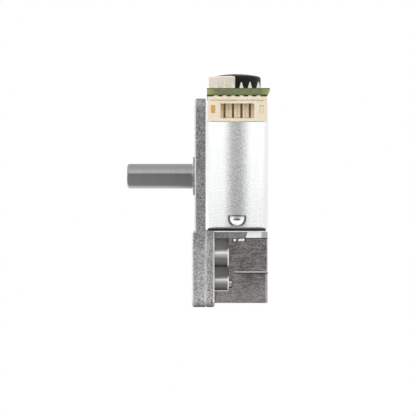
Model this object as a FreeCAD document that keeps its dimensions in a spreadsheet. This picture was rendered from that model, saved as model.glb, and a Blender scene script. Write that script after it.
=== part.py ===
"""Right-angle gear motor with a flat-sided brushed motor, a D output shaft and a magnetic encoder.

The origin lies on the output shaft's axis, on the plate's mounting face. The shaft points along -X,
the motor stands upright along +Z behind the plate, and the connector faces -Y.
"""
import FreeCAD, Part
import Sketcher
import math
import os
import re

# Driving sizes in millimetres, angles in degrees and tooth counts
SIZES = {
    # Front casting: mounting plate with the gear tray in its back
    "plate_width": 24.5,
    "plate_top": 18.3,
    "plate_thickness": 2.6,
    "front_wall": 1.0,
    "pad_rise": 0.64,
    "pad_step": 0.25,
    "boss_rise": 0.5,
    "boss_radius": 4.65,
    "corner_round": 2.2,
    "edge_round": 0.5,
    "mount_hole_radius": 1.25,
    "mount_spacing_y": 18,
    "mount_spacing_z": 22,
    # Rear casting: flange, top plate, upper half of the gear block and screw bosses
    "flange_thickness": 2.08,
    "flange_bevel": 0.32,
    "notch_width": 3.42,
    "notch_core": 13.5,
    "block_width": 21.2,
    "block_reach": 7.25,
    "block_rise": 9.85,
    "block_round": 0.35,
    "top_plate": 1.75,
    "web_thickness": 1.3,
    "foot_height": 2.9,
    "drum_wall": 0.9,
    "boss_inset": 2.15,
    "upper_boss_radius": 2.08,
    "upper_boss_rise": 3.45,
    "lower_boss_radius": 1.65,
    "lower_boss_drop": 2.65,
    "axle_boss_radius": 1.7,
    "axle_boss_length": 1.6,
    "window_width": 3.2,
    "window_offset": 0.45,
    "window_height": 0.8,
    # Lower cap: the part of the gear block under the seam
    "cap_height": 7.25,
    "cap_chamfer": 0.5,
    "flange_drop": 0.98,
    # Guard plate over the gear tray
    "guard_thickness": 0.3,
    "guard_lap": 0.9,
    # Screws
    "screw_radius": 0.95,
    "screw_head_radius": 1.8,
    "screw_head_height": 1.1,
    "screw_slot_width": 0.5,
    "screw_slot_depth": 0.5,
    "screw_head_gap": 0.1,
    "screw_groove_gap": 0.18,
    "screw_tip_reach": 0.65,
    "upper_screw_short": 0.6,
    "cap_screw_inset_x": 2.4,
    "cap_screw_spacing": 14,
    "cap_screw_bite": 4,
    "motor_screw_radius": 0.8,
    "motor_screw_head_radius": 1.45,
    "motor_screw_head_height": 1.0,
    "motor_screw_spacing": 15,
    "motor_screw_bite": 1.9,
    # Gasket between the motor and the gearbox
    "gasket_thickness": 0.4,
    "gasket_inset": 0.5,
    # Fits: running clearance of a shaft, loose clearance, and room around and beside gears
    "running_gap": 0.02,
    "loose_gap": 0.3,
    "tip_gap": 0.35,
    "side_gap": 0.1,
    # Output shaft and its bush
    "shaft_radius": 3,
    "shaft_reach": 16.4,
    "shaft_tip_chamfer": 0.35,
    "shaft_step": 0.3,
    "flat_depth": 0.45,
    "flat_tilt": 20,
    "flat_end": 0.2,
    "gear_seat_radius": 2.5,
    "journal_radius": 2,
    "bush_wall": 1,
    # Gears: module, teeth and places in the tray
    "drive_module": 0.5,
    "fine_module": 0.4,
    "addendum": 0.8,
    "dedendum": 1.15,
    "backlash": 0.12,
    "pressure_angle": 20,
    "output_teeth": 36,
    "idler_teeth": 20,
    "spur_teeth": 10,
    "wheel_teeth": 24,
    "crown_pinion_teeth": 12,
    "crown_teeth": 24,
    "motor_pinion_teeth": 10,
    "idler_swing": 3.4,
    "wheel_swing": 45,
    "wheel_thickness": 1,
    "spur_hub_radius": 1.4,
    "idler_axle_radius": 1,
    "wheel_axle_radius": 0.7,
    "axle_seat": 0.75,
    # Crown gear, its shaft and bearings
    "crown_face": 0.8,
    "crown_tooth_width": 0.42,
    "crown_disc": 1.3,
    "crown_hub_radius": 1.8,
    "crown_hub_length": 0.85,
    "crown_shaft_radius": 0.8,
    "crown_bush_radius": 1.55,
    "crown_bush_length": 1.7,
    "bearing_plate": 1,
    "rear_bush_start": 0.6,
    "rear_bush_length": 2,
    "shaft_overhang": 0.3,
    "chamber_gap": 0.1,
    # Motor can
    "can_flat": 14.9,
    "can_round": 20.1,
    "can_length": 30.2,
    "can_wall": 0.8,
    "can_bottom_round": 0.8,
    "can_boss_radius": 3,
    "can_boss_length": 1.2,
    "dimple_half_width": 1.95,
    "dimple_depth": 0.6,
    "dimple_rise": 2.87,
    "dimple_lip": 0.42,
    # Motor inside
    "motor_shaft_radius": 1,
    "motor_bush_wall": 1,
    "motor_bush_inside": 1.5,
    "magnet_thickness": 2.5,
    "magnet_span": 88,
    "magnet_length": 17,
    "magnet_start": 4,
    "magnet_spring_thickness": 0.15,
    "air_gap": 0.4,
    "armature_length": 15,
    "slot_radius": 2,
    "slot_mouth_radius": 0.8,
    "winding_gap": 0.15,
    "winding_overhang": 1.4,
    "commutator_radius": 2,
    "commutator_length": 4,
    "commutator_gap": 2.2,
    "commutator_wall": 0.5,
    "commutator_slit": 6,
    "brush_width": 1.6,
    "brush_height": 1.4,
    "brush_length": 1.4,
    "brush_gap": 0.04,
    "arm_thickness": 0.2,
    "arm_drop": 3.6,
    "washer_radius": 1.7,
    "washer_thickness": 0.4,
    "end_cap_thickness": 1.5,
    "end_cap_boss_radius": 2.9,
    "end_cap_boss_rise": 0.9,
    "terminal_spacing": 14.8,
    "terminal_width": 1.8,
    "terminal_thickness": 0.3,
    "terminal_hole_gap": 0.1,
    "post_depth": 1.6,
    "post_width": 3,
    # Encoder board
    "board_gap": 1.4,
    "board_thickness": 1.7,
    "board_left": 7.15,
    "board_right": 7.65,
    "board_slope": 0.6,
    "board_square": 0.7,
    "board_front": 14.8,
    "board_back": 9.6,
    "board_hole_radius": 2.4,
    # Connector
    "pin_pitch": 2,
    "pin_count": 6,
    "pin_width": 0.5,
    "pin_drop": 5.2,
    "pin_rise": 0.4,
    "pin_setback": 2.3,
    "pin_hole_gap": 0.05,
    "connector_end": 2,
    "connector_height": 6.1,
    "connector_depth": 4.5,
    "connector_setback": 0.1,
    "connector_wall": 0.6,
    "connector_end_wall": 0.9,
    "connector_floor": 1.1,
    "connector_ledge": 0.1,
    "connector_ledge_height": 0.75,
    "connector_groove": 0.25,
    "connector_foot_height": 0.3,
    "connector_foot_width": 0.9,
    "connector_window_width": 7.9,
    "connector_window_height": 3.5,
    "connector_window_rise": 0.7,
    "connector_slot_width": 0.95,
    "connector_slot_height": 1.85,
    "connector_slot_rise": 1.9,
    "connector_slot_inset": 0.85,
    "solder_radius": 0.62,
    "solder_tip_radius": 0.18,
    "solder_height": 1.6,
    "terminal_solder_radius": 1.25,
    "terminal_solder_height": 0.8,
    # Encoder magnet and sensors
    "disc_radius": 5.9,
    "disc_gap": 0.45,
    "disc_height": 3.8,
    "disc_round": 0.6,
    "disc_crown": 0.7,
    "disc_hub_radius": 2,
    "disc_hub_drop": 0.5,
    "carrier_length": 6.1,
    "carrier_depth": 2.4,
    "carrier_height": 3.25,
    "carrier_gap": 0.8,
    "carrier_swing": 27,
    "carrier_round": 0.3,
    "sensor_length": 2.9,
    "sensor_depth": 1.3,
    "sensor_height": 1.1,
    "sensor_spread": 7,
    "sensor_gap": 0.5,
    "chip_length": 1.6,
    "chip_width": 0.8,
    "chip_height": 0.5,
    "chip_pitch": 2.4,
    "chip_count": 2,
    "chip_inset": 0.6,
}

# Places and sizes that follow from the driving ones
DERIVED = {
    "half_width": "plate_width / 2",
    "output_pitch": "output_teeth * drive_module / 2",
    "idler_pitch": "idler_teeth * drive_module / 2",
    "spur_pitch": "spur_teeth * drive_module / 2",
    "wheel_pitch": "wheel_teeth * fine_module / 2",
    "crown_pinion_pitch": "crown_pinion_teeth * fine_module / 2",
    "crown_pitch": "crown_teeth * fine_module / 2",
    "motor_pinion_pitch": "motor_pinion_teeth * fine_module / 2",
    "output_room": "output_pitch + addendum * drive_module + tip_gap",
    "idler_room": "idler_pitch + addendum * drive_module + tip_gap",
    "spur_room": "spur_pitch + addendum * drive_module + tip_gap",
    "wheel_room": "wheel_pitch + addendum * fine_module + tip_gap",
    "crown_pinion_room": "crown_pinion_pitch + addendum * fine_module + tip_gap",
    "motor_pinion_room": "motor_pinion_pitch + addendum * fine_module + tip_gap",
    "crown_radius": "crown_pitch + crown_face / 2",
    "crown_room": "crown_radius + tip_gap",
    "idler_y": "(output_pitch + idler_pitch) * sin(idler_swing)",
    "idler_z": "-(output_pitch + idler_pitch) * cos(idler_swing)",
    "wheel_y": "idler_y + (idler_pitch + spur_pitch) * sin(wheel_swing)",
    "wheel_z": "idler_z - (idler_pitch + spur_pitch) * cos(wheel_swing)",
    "crown_z": "wheel_z - sqrt((wheel_pitch + crown_pinion_pitch) ^ 2 - wheel_y ^ 2)",
    "gearbox_top": "crown_z + block_rise",
    "block_bottom": "crown_z - cap_height",
    "housing_bottom": "block_bottom - flange_drop",
    "pad_top": "gearbox_top - pad_step",
    "top_plate_low": "gearbox_top - top_plate",
    "shaft_shoulder": "-boss_rise - side_gap",
    "drive_start": "front_wall + side_gap",
    "guard_start": "plate_thickness - guard_thickness",
    "drive_end": "guard_start - side_gap",
    "wheel_start": "plate_thickness + side_gap",
    "wheel_end": "wheel_start + wheel_thickness",
    "wheel_floor": "wheel_end + side_gap",
    "bearing_end": "wheel_floor + bearing_plate",
    "flange_end": "plate_thickness + flange_thickness",
    "block_start": "flange_end + notch_width",
    "cap_start": "block_start + web_thickness",
    "motor_x": "plate_thickness + can_flat / 2",
    "block_end": "motor_x + block_reach",
    "crown_plane": "motor_x - motor_pinion_pitch",
    "crown_root": "crown_plane - dedendum * fine_module - side_gap / 2",
    "crown_tip": "crown_plane + addendum * fine_module",
    "crown_hub_end": "crown_tip + crown_hub_length - side_gap",
    "chamber_end": "crown_hub_end + chamber_gap",
    "rear_bush_x": "cap_start + rear_bush_start",
    "crown_shaft_end": "rear_bush_x + rear_bush_length + shaft_overhang",
    "crown_front_x": "plate_thickness - crown_bush_length",
    "boss_y": "half_width - boss_inset",
    "upper_boss_z": "crown_z + upper_boss_rise",
    "lower_boss_z": "crown_z - lower_boss_drop",
    "head_seat": "screw_head_height + screw_head_gap - pad_rise",
    "cap_screw_x": "block_end - cap_screw_inset_x",
    "cap_head_seat": "block_bottom + screw_head_height + screw_head_gap",
    "motor_head_seat": "top_plate_low",
    "can_front": "gearbox_top + gasket_thickness",
    "can_rear": "can_front + can_length",
    "can_inner_radius": "can_round / 2 - can_wall",
    "can_inner_flat": "can_flat / 2 - can_wall",
    "front_bush_end": "can_front + can_wall + motor_bush_inside",
    "motor_bush_radius": "motor_shaft_radius + motor_bush_wall",
    "pinion_top": "top_plate_low - side_gap",
    "pinion_end": "crown_z + crown_pitch - crown_face / 2 - loose_gap",
    "magnet_low": "can_front + can_wall + magnet_start",
    "magnet_inner": "can_inner_radius - magnet_thickness",
    "armature_radius": "magnet_inner - air_gap",
    "armature_low": "magnet_low + (magnet_length - armature_length) / 2",
    "armature_high": "armature_low + armature_length",
    "slot_place": "armature_radius - slot_radius",
    "commutator_low": "armature_high + commutator_gap",
    "commutator_high": "commutator_low + commutator_length",
    "end_cap_low": "can_rear - end_cap_thickness",
    "end_cap_top": "can_rear + end_cap_boss_rise",
    "brush_z": "commutator_low + commutator_length / 2",
    "brush_inner": "commutator_radius + brush_gap",
    "brush_outer": "brush_inner + brush_length",
    "terminal_y": "terminal_spacing / 2",
    "board_low": "can_rear + board_gap",
    "board_high": "board_low + board_thickness",
    "pin_y": "pin_setback + connector_setback - board_front",
    "connector_half": "pin_pitch * (pin_count - 1) / 2 + connector_end",
    "connector_front": "connector_setback - board_front",
    "connector_back": "connector_front + connector_depth",
    "connector_top": "board_low - connector_foot_height",
    "connector_bottom": "board_low - connector_height",
    "disc_low": "board_high + disc_gap",
    "disc_high": "disc_low + disc_height",
    "disc_dome": "(disc_radius ^ 2 + disc_crown ^ 2) / (2 * disc_crown)",
    "carrier_distance": "disc_radius + carrier_gap + carrier_depth / 2",
    "sensor_y": "disc_radius + sensor_gap",
}

doc = FreeCAD.newDocument("encoder_motor")
sheet = doc.addObject("Spreadsheet::Sheet", "sizes")
for row, (alias, number) in enumerate(SIZES.items(), start=1):
    sheet.set(f"A{row}", alias)
    sheet.set(f"B{row}", str(number))
    sheet.setAlias(f"B{row}", alias)
doc.recompute()

nodes = []


def resolve(formula):
    """Spell a formula of plain words as an expression on the sheet's cells."""
    def spell(match):
        word = match.group(0)
        if word in DERIVED:
            return f"({resolve(DERIVED[word])})"
        return f"sizes.{word}" if word in SIZES else word
    return re.sub(r"[a-z][a-z_]*", spell, str(formula))


def value(formula):
    """Work out a formula as a plain number, for shapes that are drawn by code."""
    result = sheet.evalExpression(resolve(formula))
    return float(getattr(result, "Value", result))


def bind(obj, **formulas):
    for name, formula in formulas.items():
        obj.setExpression(name, resolve(formula))


def place(obj, x, y, z, rotation=None):
    if rotation:
        obj.Placement.Rotation = rotation
    for name, formula in zip("xyz", (x, y, z)):
        obj.setExpression(f"Placement.Base.{name}", resolve(formula))


def box(x, y, z):
    """A block between the low and high formula of each axis."""
    block = doc.addObject("Part::Box", "Block")
    bind(block, Length=f"({x[1]}) - ({x[0]})", Width=f"({y[1]}) - ({y[0]})", Height=f"({z[1]}) - ({z[0]})")
    place(block, x[0], y[0], z[0])
    return block


AXIS_TURN = {
    "x": FreeCAD.Rotation(FreeCAD.Vector(0, 1, 0), 90),
    "z": FreeCAD.Rotation(),
}


def rod(axis, radius, span, first, second):
    """A cylinder along x or z, from span's low to its high formula, at the other two places in order."""
    cylinder = doc.addObject("Part::Cylinder", "Rod")
    bind(cylinder, Radius=radius, Height=f"({span[1]}) - ({span[0]})")
    middle = (span[0], first, second) if axis == "x" else (first, second, span[0])
    place(cylinder, *middle, rotation=AXIS_TURN[axis])
    return cylinder


def cone(low_radius, high_radius, span, x, y):
    """An upright cone."""
    point = doc.addObject("Part::Cone", "Cone")
    bind(point, Radius1=low_radius, Radius2=high_radius, Height=f"({span[1]}) - ({span[0]})")
    place(point, x, y, span[0])
    return point


def join(*pieces):
    union = doc.addObject("Part::MultiFuse", "Union")
    union.Shapes = list(pieces)
    union.Refine = True
    return union


def cut(base, *tools):
    rest = doc.addObject("Part::Cut", "Rest")
    rest.Base = base
    rest.Tool = tools[0] if len(tools) == 1 else join(*tools)
    rest.Refine = True
    return rest


def overlap(first, second):
    common = doc.addObject("Part::Common", "Overlap")
    common.Base = first
    common.Tool = second
    return common


def group(*pieces):
    """Like pieces that stay separate solids."""
    bundle = doc.addObject("Part::Compound", "Group")
    bundle.Links = list(pieces)
    return bundle


def tube(axis, outer, inner, span, first, second):
    return cut(rod(axis, outer, span, first, second), rod(axis, inner, span, first, second))


def soften(base, kind, size, chosen):
    """Round or chamfer the edges that the test picks."""
    doc.recompute()
    amount = value(size)
    edges = [number for number, edge in enumerate(base.Shape.Edges, start=1) if chosen(edge)]
    finish = doc.addObject(kind, "Finish")
    finish.Base = base
    finish.Edges = [(number, amount, amount) for number in edges]
    return finish


def shaped(solid, x, y, z, rotation=FreeCAD.Rotation()):
    """A piece whose outline is drawn by code, set at its place."""
    feature = doc.addObject("Part::Feature", "Drawn")
    feature.Shape = solid
    feature.Placement = FreeCAD.Placement(FreeCAD.Vector(value(x), value(y), value(z)), rotation)
    return feature


def node(label, piece):
    piece.Label = label
    nodes.append(piece)


TOUCH = 1e-4


def near(first, second):
    return abs(first - second) < TOUCH


def along(edge, axis):
    """True for a straight edge that runs along one axis."""
    lengths = {"x": edge.BoundBox.XLength, "y": edge.BoundBox.YLength, "z": edge.BoundBox.ZLength}
    return all((size > TOUCH) == (name == axis) for name, size in lengths.items())


def on_plane(edge, axis, formula):
    """True for an edge that lies in the plane where the axis has that value."""
    low = getattr(edge.BoundBox, axis.upper() + "Min")
    high = getattr(edge.BoundBox, axis.upper() + "Max")
    return near(low, value(formula)) and near(high, value(formula))


# Gear teeth: an involute outline, drawn with the tooth that the phase names

GEAR_TURN_X = FreeCAD.Rotation(FreeCAD.Vector(1, 1, 1), 120)


def gear_prism(teeth, module, length, phase, bore):
    """A spur gear along its own Z axis, with one tooth's middle at the phase angle."""
    count = round(value(teeth))
    size = value(module)
    pitch_radius = count * size / 2
    tip = pitch_radius + value("addendum") * size
    root = pitch_radius - value("dedendum") * size
    slope = math.radians(value("pressure_angle"))
    base = pitch_radius * math.cos(slope)
    half_tooth = (math.pi * size / 2 - value("backlash")) / (2 * pitch_radius)

    def half_angle(radius):
        angle = math.acos(min(1, base / max(radius, base)))
        return half_tooth + (math.tan(slope) - slope) - (math.tan(angle) - angle)

    flank = [root] + sorted({max(base, root + size / 10), pitch_radius, tip})
    points = []
    for tooth in range(count):
        middle = math.radians(phase) + 2 * math.pi * tooth / count
        sides = [(radius, middle - half_angle(radius)) for radius in flank]
        sides += [(radius, middle + half_angle(radius)) for radius in reversed(flank)]
        points += [FreeCAD.Vector(r * math.cos(a), r * math.sin(a), 0) for r, a in sides]
    outline = Part.Face(Part.makePolygon(points + points[:1]))
    blank = outline.extrude(FreeCAD.Vector(0, 0, value(length)))
    return blank.cut(Part.makeCylinder(value(bore), value(length)))


def mesh_phase(phase, teeth, direction, next_teeth):
    """The next gear's phase, so that its space meets this gear's tooth along the direction."""
    part_pitch = (direction - phase) / 360 * round(value(teeth))
    return direction + 180 - (0.5 - part_pitch) * 360 / round(value(next_teeth))


def direction_between(first_y, first_z, second_y, second_z):
    return math.degrees(math.atan2(value(second_z) - value(first_z), value(second_y) - value(first_y)))


output_phase = 0
output_to_idler = direction_between("0", "0", "idler_y", "idler_z")
idler_phase = mesh_phase(output_phase, "output_teeth", output_to_idler, "idler_teeth")
idler_to_spur = direction_between("idler_y", "idler_z", "wheel_y", "wheel_z")
spur_phase = mesh_phase(idler_phase, "idler_teeth", idler_to_spur, "spur_teeth")
wheel_to_crown = direction_between("wheel_y", "wheel_z", "0", "crown_z")
crown_pinion_phase = mesh_phase(spur_phase, "wheel_teeth", wheel_to_crown, "crown_pinion_teeth")

# Front casting

slab = box(("0", "plate_thickness"), ("-half_width", "half_width"), ("housing_bottom", "plate_top"))
pad = box(("-pad_rise", "plate_thickness"), ("-half_width", "half_width"), ("housing_bottom", "pad_top"))
plate = soften(join(slab, pad), "Part::Fillet", "corner_round",
               lambda edge: along(edge, "x") and not near(edge.BoundBox.ZMax, value("pad_top")))
plate = soften(plate, "Part::Fillet", "edge_round",
               lambda edge: on_plane(edge, "x", "-pad_rise"))
plate = soften(plate, "Part::Fillet", "edge_round",
               lambda edge: on_plane(edge, "x", "0") and not on_plane(edge, "z", "pad_top"))
tray = join(
    rod("x", "output_room", ("front_wall", "plate_thickness"), "0", "0"),
    rod("x", "idler_room", ("front_wall", "plate_thickness"), "idler_y", "idler_z"),
    rod("x", "spur_room", ("front_wall", "plate_thickness"), "wheel_y", "wheel_z"),
)
guard_recess = cut(
    join(
        rod("x", "output_room + guard_lap", ("guard_start", "plate_thickness"), "0", "0"),
        rod("x", "idler_room + guard_lap", ("guard_start", "plate_thickness"), "idler_y", "idler_z"),
    ),
    rod("x", "wheel_room", ("guard_start", "plate_thickness"), "wheel_y", "wheel_z"),
)
mount_holes = [
    rod("x", "mount_hole_radius", ("-pad_rise", "plate_thickness"),
        f"{side} * mount_spacing_y / 2", f"{height} * mount_spacing_z / 2")
    for side in (-1, 1) for height in (-1, 1)
]
case_screw_places = [
    ("-boss_y", "upper_boss_z", "block_start - upper_screw_short"),
    ("-boss_y", "lower_boss_z", "block_start + screw_tip_reach"),
    ("boss_y", "lower_boss_z", "block_start + screw_tip_reach"),
]
case_screw_holes = []
for y, z, tip in case_screw_places:
    case_screw_holes.append(rod("x", "screw_radius", ("-pad_rise", "plate_thickness"), y, z))
    case_screw_holes.append(rod("x", "screw_head_radius + screw_head_gap", ("-pad_rise", "head_seat"), y, z))
node("front_casting", cut(
    join(plate, rod("x", "boss_radius", ("-boss_rise", "front_wall"), "0", "0")),
    tray,
    guard_recess,
    rod("x", "shaft_radius + bush_wall", ("-boss_rise", "front_wall"), "0", "0"),
    rod("x", "idler_axle_radius", ("front_wall - axle_seat", "front_wall"), "idler_y", "idler_z"),
    rod("x", "wheel_axle_radius", ("front_wall - axle_seat", "front_wall"), "wheel_y", "wheel_z"),
    rod("x", "crown_bush_radius", ("crown_front_x", "plate_thickness"), "0", "crown_z"),
    *mount_holes,
    *case_screw_holes,
))

# Guard plate: stamped steel sheet that closes the gear tray behind the output gear

node("guard_plate", cut(
    join(
        rod("x", "output_room + guard_lap", ("guard_start", "plate_thickness"), "0", "0"),
        rod("x", "idler_room + guard_lap", ("guard_start", "plate_thickness"), "idler_y", "idler_z"),
    ),
    rod("x", "wheel_room", ("guard_start", "plate_thickness"), "wheel_y", "wheel_z"),
    rod("x", "journal_radius + running_gap", ("guard_start", "plate_thickness"), "0", "0"),
    rod("x", "idler_axle_radius", ("guard_start", "plate_thickness"), "idler_y", "idler_z"),
))

# Output shaft, its bush and gear

node("output_bush", tube("x", "shaft_radius + bush_wall", "shaft_radius - shaft_step + running_gap",
                         ("-boss_rise", "front_wall"), "0", "0"))
shaft_bar = soften(rod("x", "shaft_radius", ("-shaft_reach", "shaft_shoulder"), "0", "0"),
                   "Part::Chamfer", "shaft_tip_chamfer",
                   lambda edge: on_plane(edge, "x", "-shaft_reach"))
flat_tool = doc.addObject("Part::Box", "FlatTool")
bind(flat_tool, Length="shaft_reach + shaft_shoulder - flat_end", Width="shaft_radius + flat_depth",
     Height="2 * shaft_radius")
flat_tool.Placement.Rotation = FreeCAD.Rotation(FreeCAD.Vector(1, 0, 0), value("flat_tilt"))
place(flat_tool, "-shaft_reach",
      "-2 * shaft_radius * cos(flat_tilt) + shaft_radius * sin(flat_tilt)",
      "-2 * shaft_radius * sin(flat_tilt) - shaft_radius * cos(flat_tilt)")
node("output_shaft", cut(
    join(
        shaft_bar,
        rod("x", "shaft_radius - shaft_step", ("shaft_shoulder", "drive_start"), "0", "0"),
        rod("x", "gear_seat_radius", ("drive_start", "drive_end"), "0", "0"),
        rod("x", "journal_radius", ("drive_end", "plate_thickness - side_gap"), "0", "0"),
    ),
    flat_tool,
))
node("output_gear", shaped(
    gear_prism("output_teeth", "drive_module", "drive_end - drive_start", output_phase, "gear_seat_radius"),
    "drive_start", "0", "0", GEAR_TURN_X))

# Idler gear on its fixed axle

node("idler_axle", rod("x", "idler_axle_radius", ("front_wall - axle_seat", "plate_thickness"),
                       "idler_y", "idler_z"))
node("idler_gear", shaped(
    gear_prism("idler_teeth", "drive_module", "drive_end - drive_start", idler_phase,
               "idler_axle_radius + running_gap"),
    "drive_start", "idler_y", "idler_z", GEAR_TURN_X))

# Intermediate gear: a spur pinion in the tray, with a wheel pressed on its hub

node("intermediate_axle", rod("x", "wheel_axle_radius",
                              ("front_wall - axle_seat", "flange_end + axle_boss_length - axle_seat"),
                              "wheel_y", "wheel_z"))
spur_teeth_part = shaped(
    gear_prism("spur_teeth", "drive_module", "wheel_start - drive_start", spur_phase,
               "wheel_axle_radius + running_gap"),
    "drive_start", "wheel_y", "wheel_z", GEAR_TURN_X)
node("intermediate_pinion", join(
    spur_teeth_part,
    tube("x", "spur_hub_radius", "wheel_axle_radius + running_gap", ("wheel_start", "wheel_end"),
         "wheel_y", "wheel_z"),
))
node("intermediate_wheel", shaped(
    gear_prism("wheel_teeth", "fine_module", "wheel_thickness", spur_phase, "spur_hub_radius"),
    "wheel_start", "wheel_y", "wheel_z", GEAR_TURN_X))

# Crown shaft with its pinion, and the crown gear that the motor pinion drives

node("crown_shaft", rod("x", "crown_shaft_radius", ("crown_front_x + side_gap", "crown_shaft_end"),
                        "0", "crown_z"))
node("crown_pinion", shaped(
    gear_prism("crown_pinion_teeth", "fine_module", "wheel_thickness", crown_pinion_phase,
               "crown_shaft_radius"),
    "wheel_start", "0", "crown_z", GEAR_TURN_X))


def crown_tooth(angle):
    """One tooth on the crown's face: a rack tooth that runs out along the radius."""
    depth = value("crown_tip - crown_root")
    slope = math.tan(math.radians(value("pressure_angle")))
    half_pitch = value("crown_tooth_width") / 2
    half_tip = half_pitch - value("addendum * fine_module") * slope
    half_root = half_pitch + value("crown_plane - crown_root") * slope
    inner = value("crown_pitch - crown_face / 2")
    corners = [(-half_root, 0), (half_root, 0), (half_tip, depth), (-half_tip, depth)]
    section = [FreeCAD.Vector(inner, across, out) for across, out in corners]
    end_face = Part.Face(Part.makePolygon(section + section[:1]))
    tooth = end_face.extrude(FreeCAD.Vector(value("crown_face"), 0, 0))
    tooth.rotate(FreeCAD.Vector(), FreeCAD.Vector(0, 0, 1), angle)
    return tooth


crown_count = round(value("crown_teeth"))
straight_up = 90
crown_teeth_ring = [crown_tooth(straight_up + (step + 0.5) * 360 / crown_count) for step in range(crown_count)]
crown_disc = Part.makeCylinder(value("crown_radius"), value("crown_disc"),
                               FreeCAD.Vector(0, 0, -value("crown_disc")))
crown_teeth_part = shaped(crown_disc.multiFuse(crown_teeth_ring).removeSplitter(),
                          "crown_root", "0", "crown_z", GEAR_TURN_X)
node("crown_gear", cut(
    join(crown_teeth_part,
         rod("x", "crown_hub_radius", ("bearing_end + side_gap", "crown_hub_end"), "0", "crown_z")),
    rod("x", "crown_shaft_radius", ("bearing_end", "chamber_end"), "0", "crown_z"),
))
node("crown_front_bush", tube("x", "crown_bush_radius", "crown_shaft_radius + running_gap",
                              ("crown_front_x", "plate_thickness"), "0", "crown_z"))
node("crown_bearing_plate", tube("x", "crown_room", "crown_bush_radius", ("wheel_floor", "bearing_end"),
                                 "0", "crown_z"))
node("crown_middle_bush", tube("x", "crown_bush_radius", "crown_shaft_radius + running_gap",
                               ("wheel_floor", "bearing_end"), "0", "crown_z"))
node("crown_rear_bush", tube("x", "crown_bush_radius", "crown_shaft_radius + running_gap",
                             ("rear_bush_x", "rear_bush_x + rear_bush_length"), "0", "crown_z"))

# Rear casting and the lower cap under its seam

block_sides = ("-block_width / 2", "block_width / 2")
flange = soften(box(("plate_thickness", "flange_end"), ("-half_width", "half_width"),
                    ("housing_bottom", "gearbox_top")),
                "Part::Fillet", "corner_round",
                lambda edge: along(edge, "x") and near(edge.BoundBox.ZMax, value("housing_bottom")))
flange = soften(flange, "Part::Fillet", "edge_round",
                lambda edge: on_plane(edge, "x", "plate_thickness") and not on_plane(edge, "z", "gearbox_top"))
flange = soften(flange, "Part::Chamfer", "flange_bevel",
                lambda edge: on_plane(edge, "x", "flange_end") and not on_plane(edge, "z", "gearbox_top"))
upper_block = soften(box(("flange_end", "block_end"), block_sides, ("crown_z", "gearbox_top")),
                     "Part::Fillet", "block_round",
                     lambda edge: on_plane(edge, "x", "block_end") and not on_plane(edge, "z", "crown_z"))
lower_block = box(("flange_end", "cap_start"), block_sides, ("block_bottom", "crown_z"))
notch_low = "block_bottom + foot_height"
notches = [
    box(("flange_end", "block_start"), (low, high), (notch_low, "top_plate_low"))
    for low, high in (("-half_width", "-notch_core / 2"), ("notch_core / 2", "half_width"))
]
drum = rod("x", "crown_room + drum_wall", ("flange_end", "block_start"), "0", "crown_z")
case_bosses = [
    rod("x", "upper_boss_radius", ("flange_end", "block_start"), "-boss_y", "upper_boss_z"),
    rod("x", "lower_boss_radius", ("flange_end", "block_start"), "-boss_y", "lower_boss_z"),
    rod("x", "lower_boss_radius", ("flange_end", "block_start"), "boss_y", "lower_boss_z"),
]
axle_boss = rod("x", "axle_boss_radius", ("flange_end", "flange_end + axle_boss_length"), "wheel_y", "wheel_z")
rear_body = join(cut(join(flange, upper_block, lower_block), *notches), drum, axle_boss, *case_bosses)
shaft_tunnel = rod("x", "crown_shaft_radius + loose_gap", ("chamber_end", "crown_shaft_end + loose_gap"),
                   "0", "crown_z")
rear_bush_seat = rod("x", "crown_bush_radius", ("rear_bush_x", "rear_bush_x + rear_bush_length"),
                     "0", "crown_z")
cap_screw_ys = ("-cap_screw_spacing / 2", "cap_screw_spacing / 2")
cap_screw_threads = [
    rod("z", "screw_radius", ("crown_z", "crown_z + cap_screw_bite"), "cap_screw_x", y) for y in cap_screw_ys
]
motor_screw_ys = ("-motor_screw_spacing / 2", "motor_screw_spacing / 2")
motor_screw_holes = []
for y in motor_screw_ys:
    motor_screw_holes.append(rod("z", "motor_screw_radius", ("motor_head_seat", "gearbox_top"), "motor_x", y))
    motor_screw_holes.append(rod("z", "motor_screw_head_radius + screw_head_gap",
                                 ("crown_z", "motor_head_seat"), "motor_x", y))
case_threads = []
for y, z, tip in case_screw_places:
    case_threads.append(rod("x", "screw_radius", ("plate_thickness", tip), y, z))
for y in ("-boss_y", "boss_y"):
    case_threads.append(rod("x", "screw_radius + screw_groove_gap",
                            ("block_start", "block_start + screw_tip_reach + screw_groove_gap"),
                            y, "lower_boss_z"))
node("rear_casting", cut(
    rear_body,
    rod("x", "wheel_room", ("plate_thickness", "wheel_floor"), "wheel_y", "wheel_z"),
    rod("x", "crown_pinion_room", ("plate_thickness", "wheel_floor"), "0", "crown_z"),
    rod("x", "crown_room", ("wheel_floor", "chamber_end"), "0", "crown_z"),
    rod("x", "wheel_axle_radius", ("wheel_floor", "flange_end + axle_boss_length - axle_seat"),
        "wheel_y", "wheel_z"),
    rod("z", "can_boss_radius", ("top_plate_low", "gearbox_top"), "motor_x", "0"),
    rod("z", "motor_pinion_room", ("pinion_end - loose_gap", "top_plate_low"), "motor_x", "0"),
    box(("motor_x + window_offset - window_width / 2", "motor_x + window_offset + window_width / 2"),
        ("-half_width", "0"),
        ("top_plate_low - window_height", "top_plate_low")),
    shaft_tunnel,
    rear_bush_seat,
    *cap_screw_threads,
    *motor_screw_holes,
    *case_threads,
))
cap_body = soften(box(("cap_start", "block_end"), block_sides, ("block_bottom", "crown_z")),
                  "Part::Chamfer", "cap_chamfer",
                  lambda edge: along(edge, "z") and near(edge.BoundBox.XMax, value("block_end")))
cap_screw_holes = []
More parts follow.
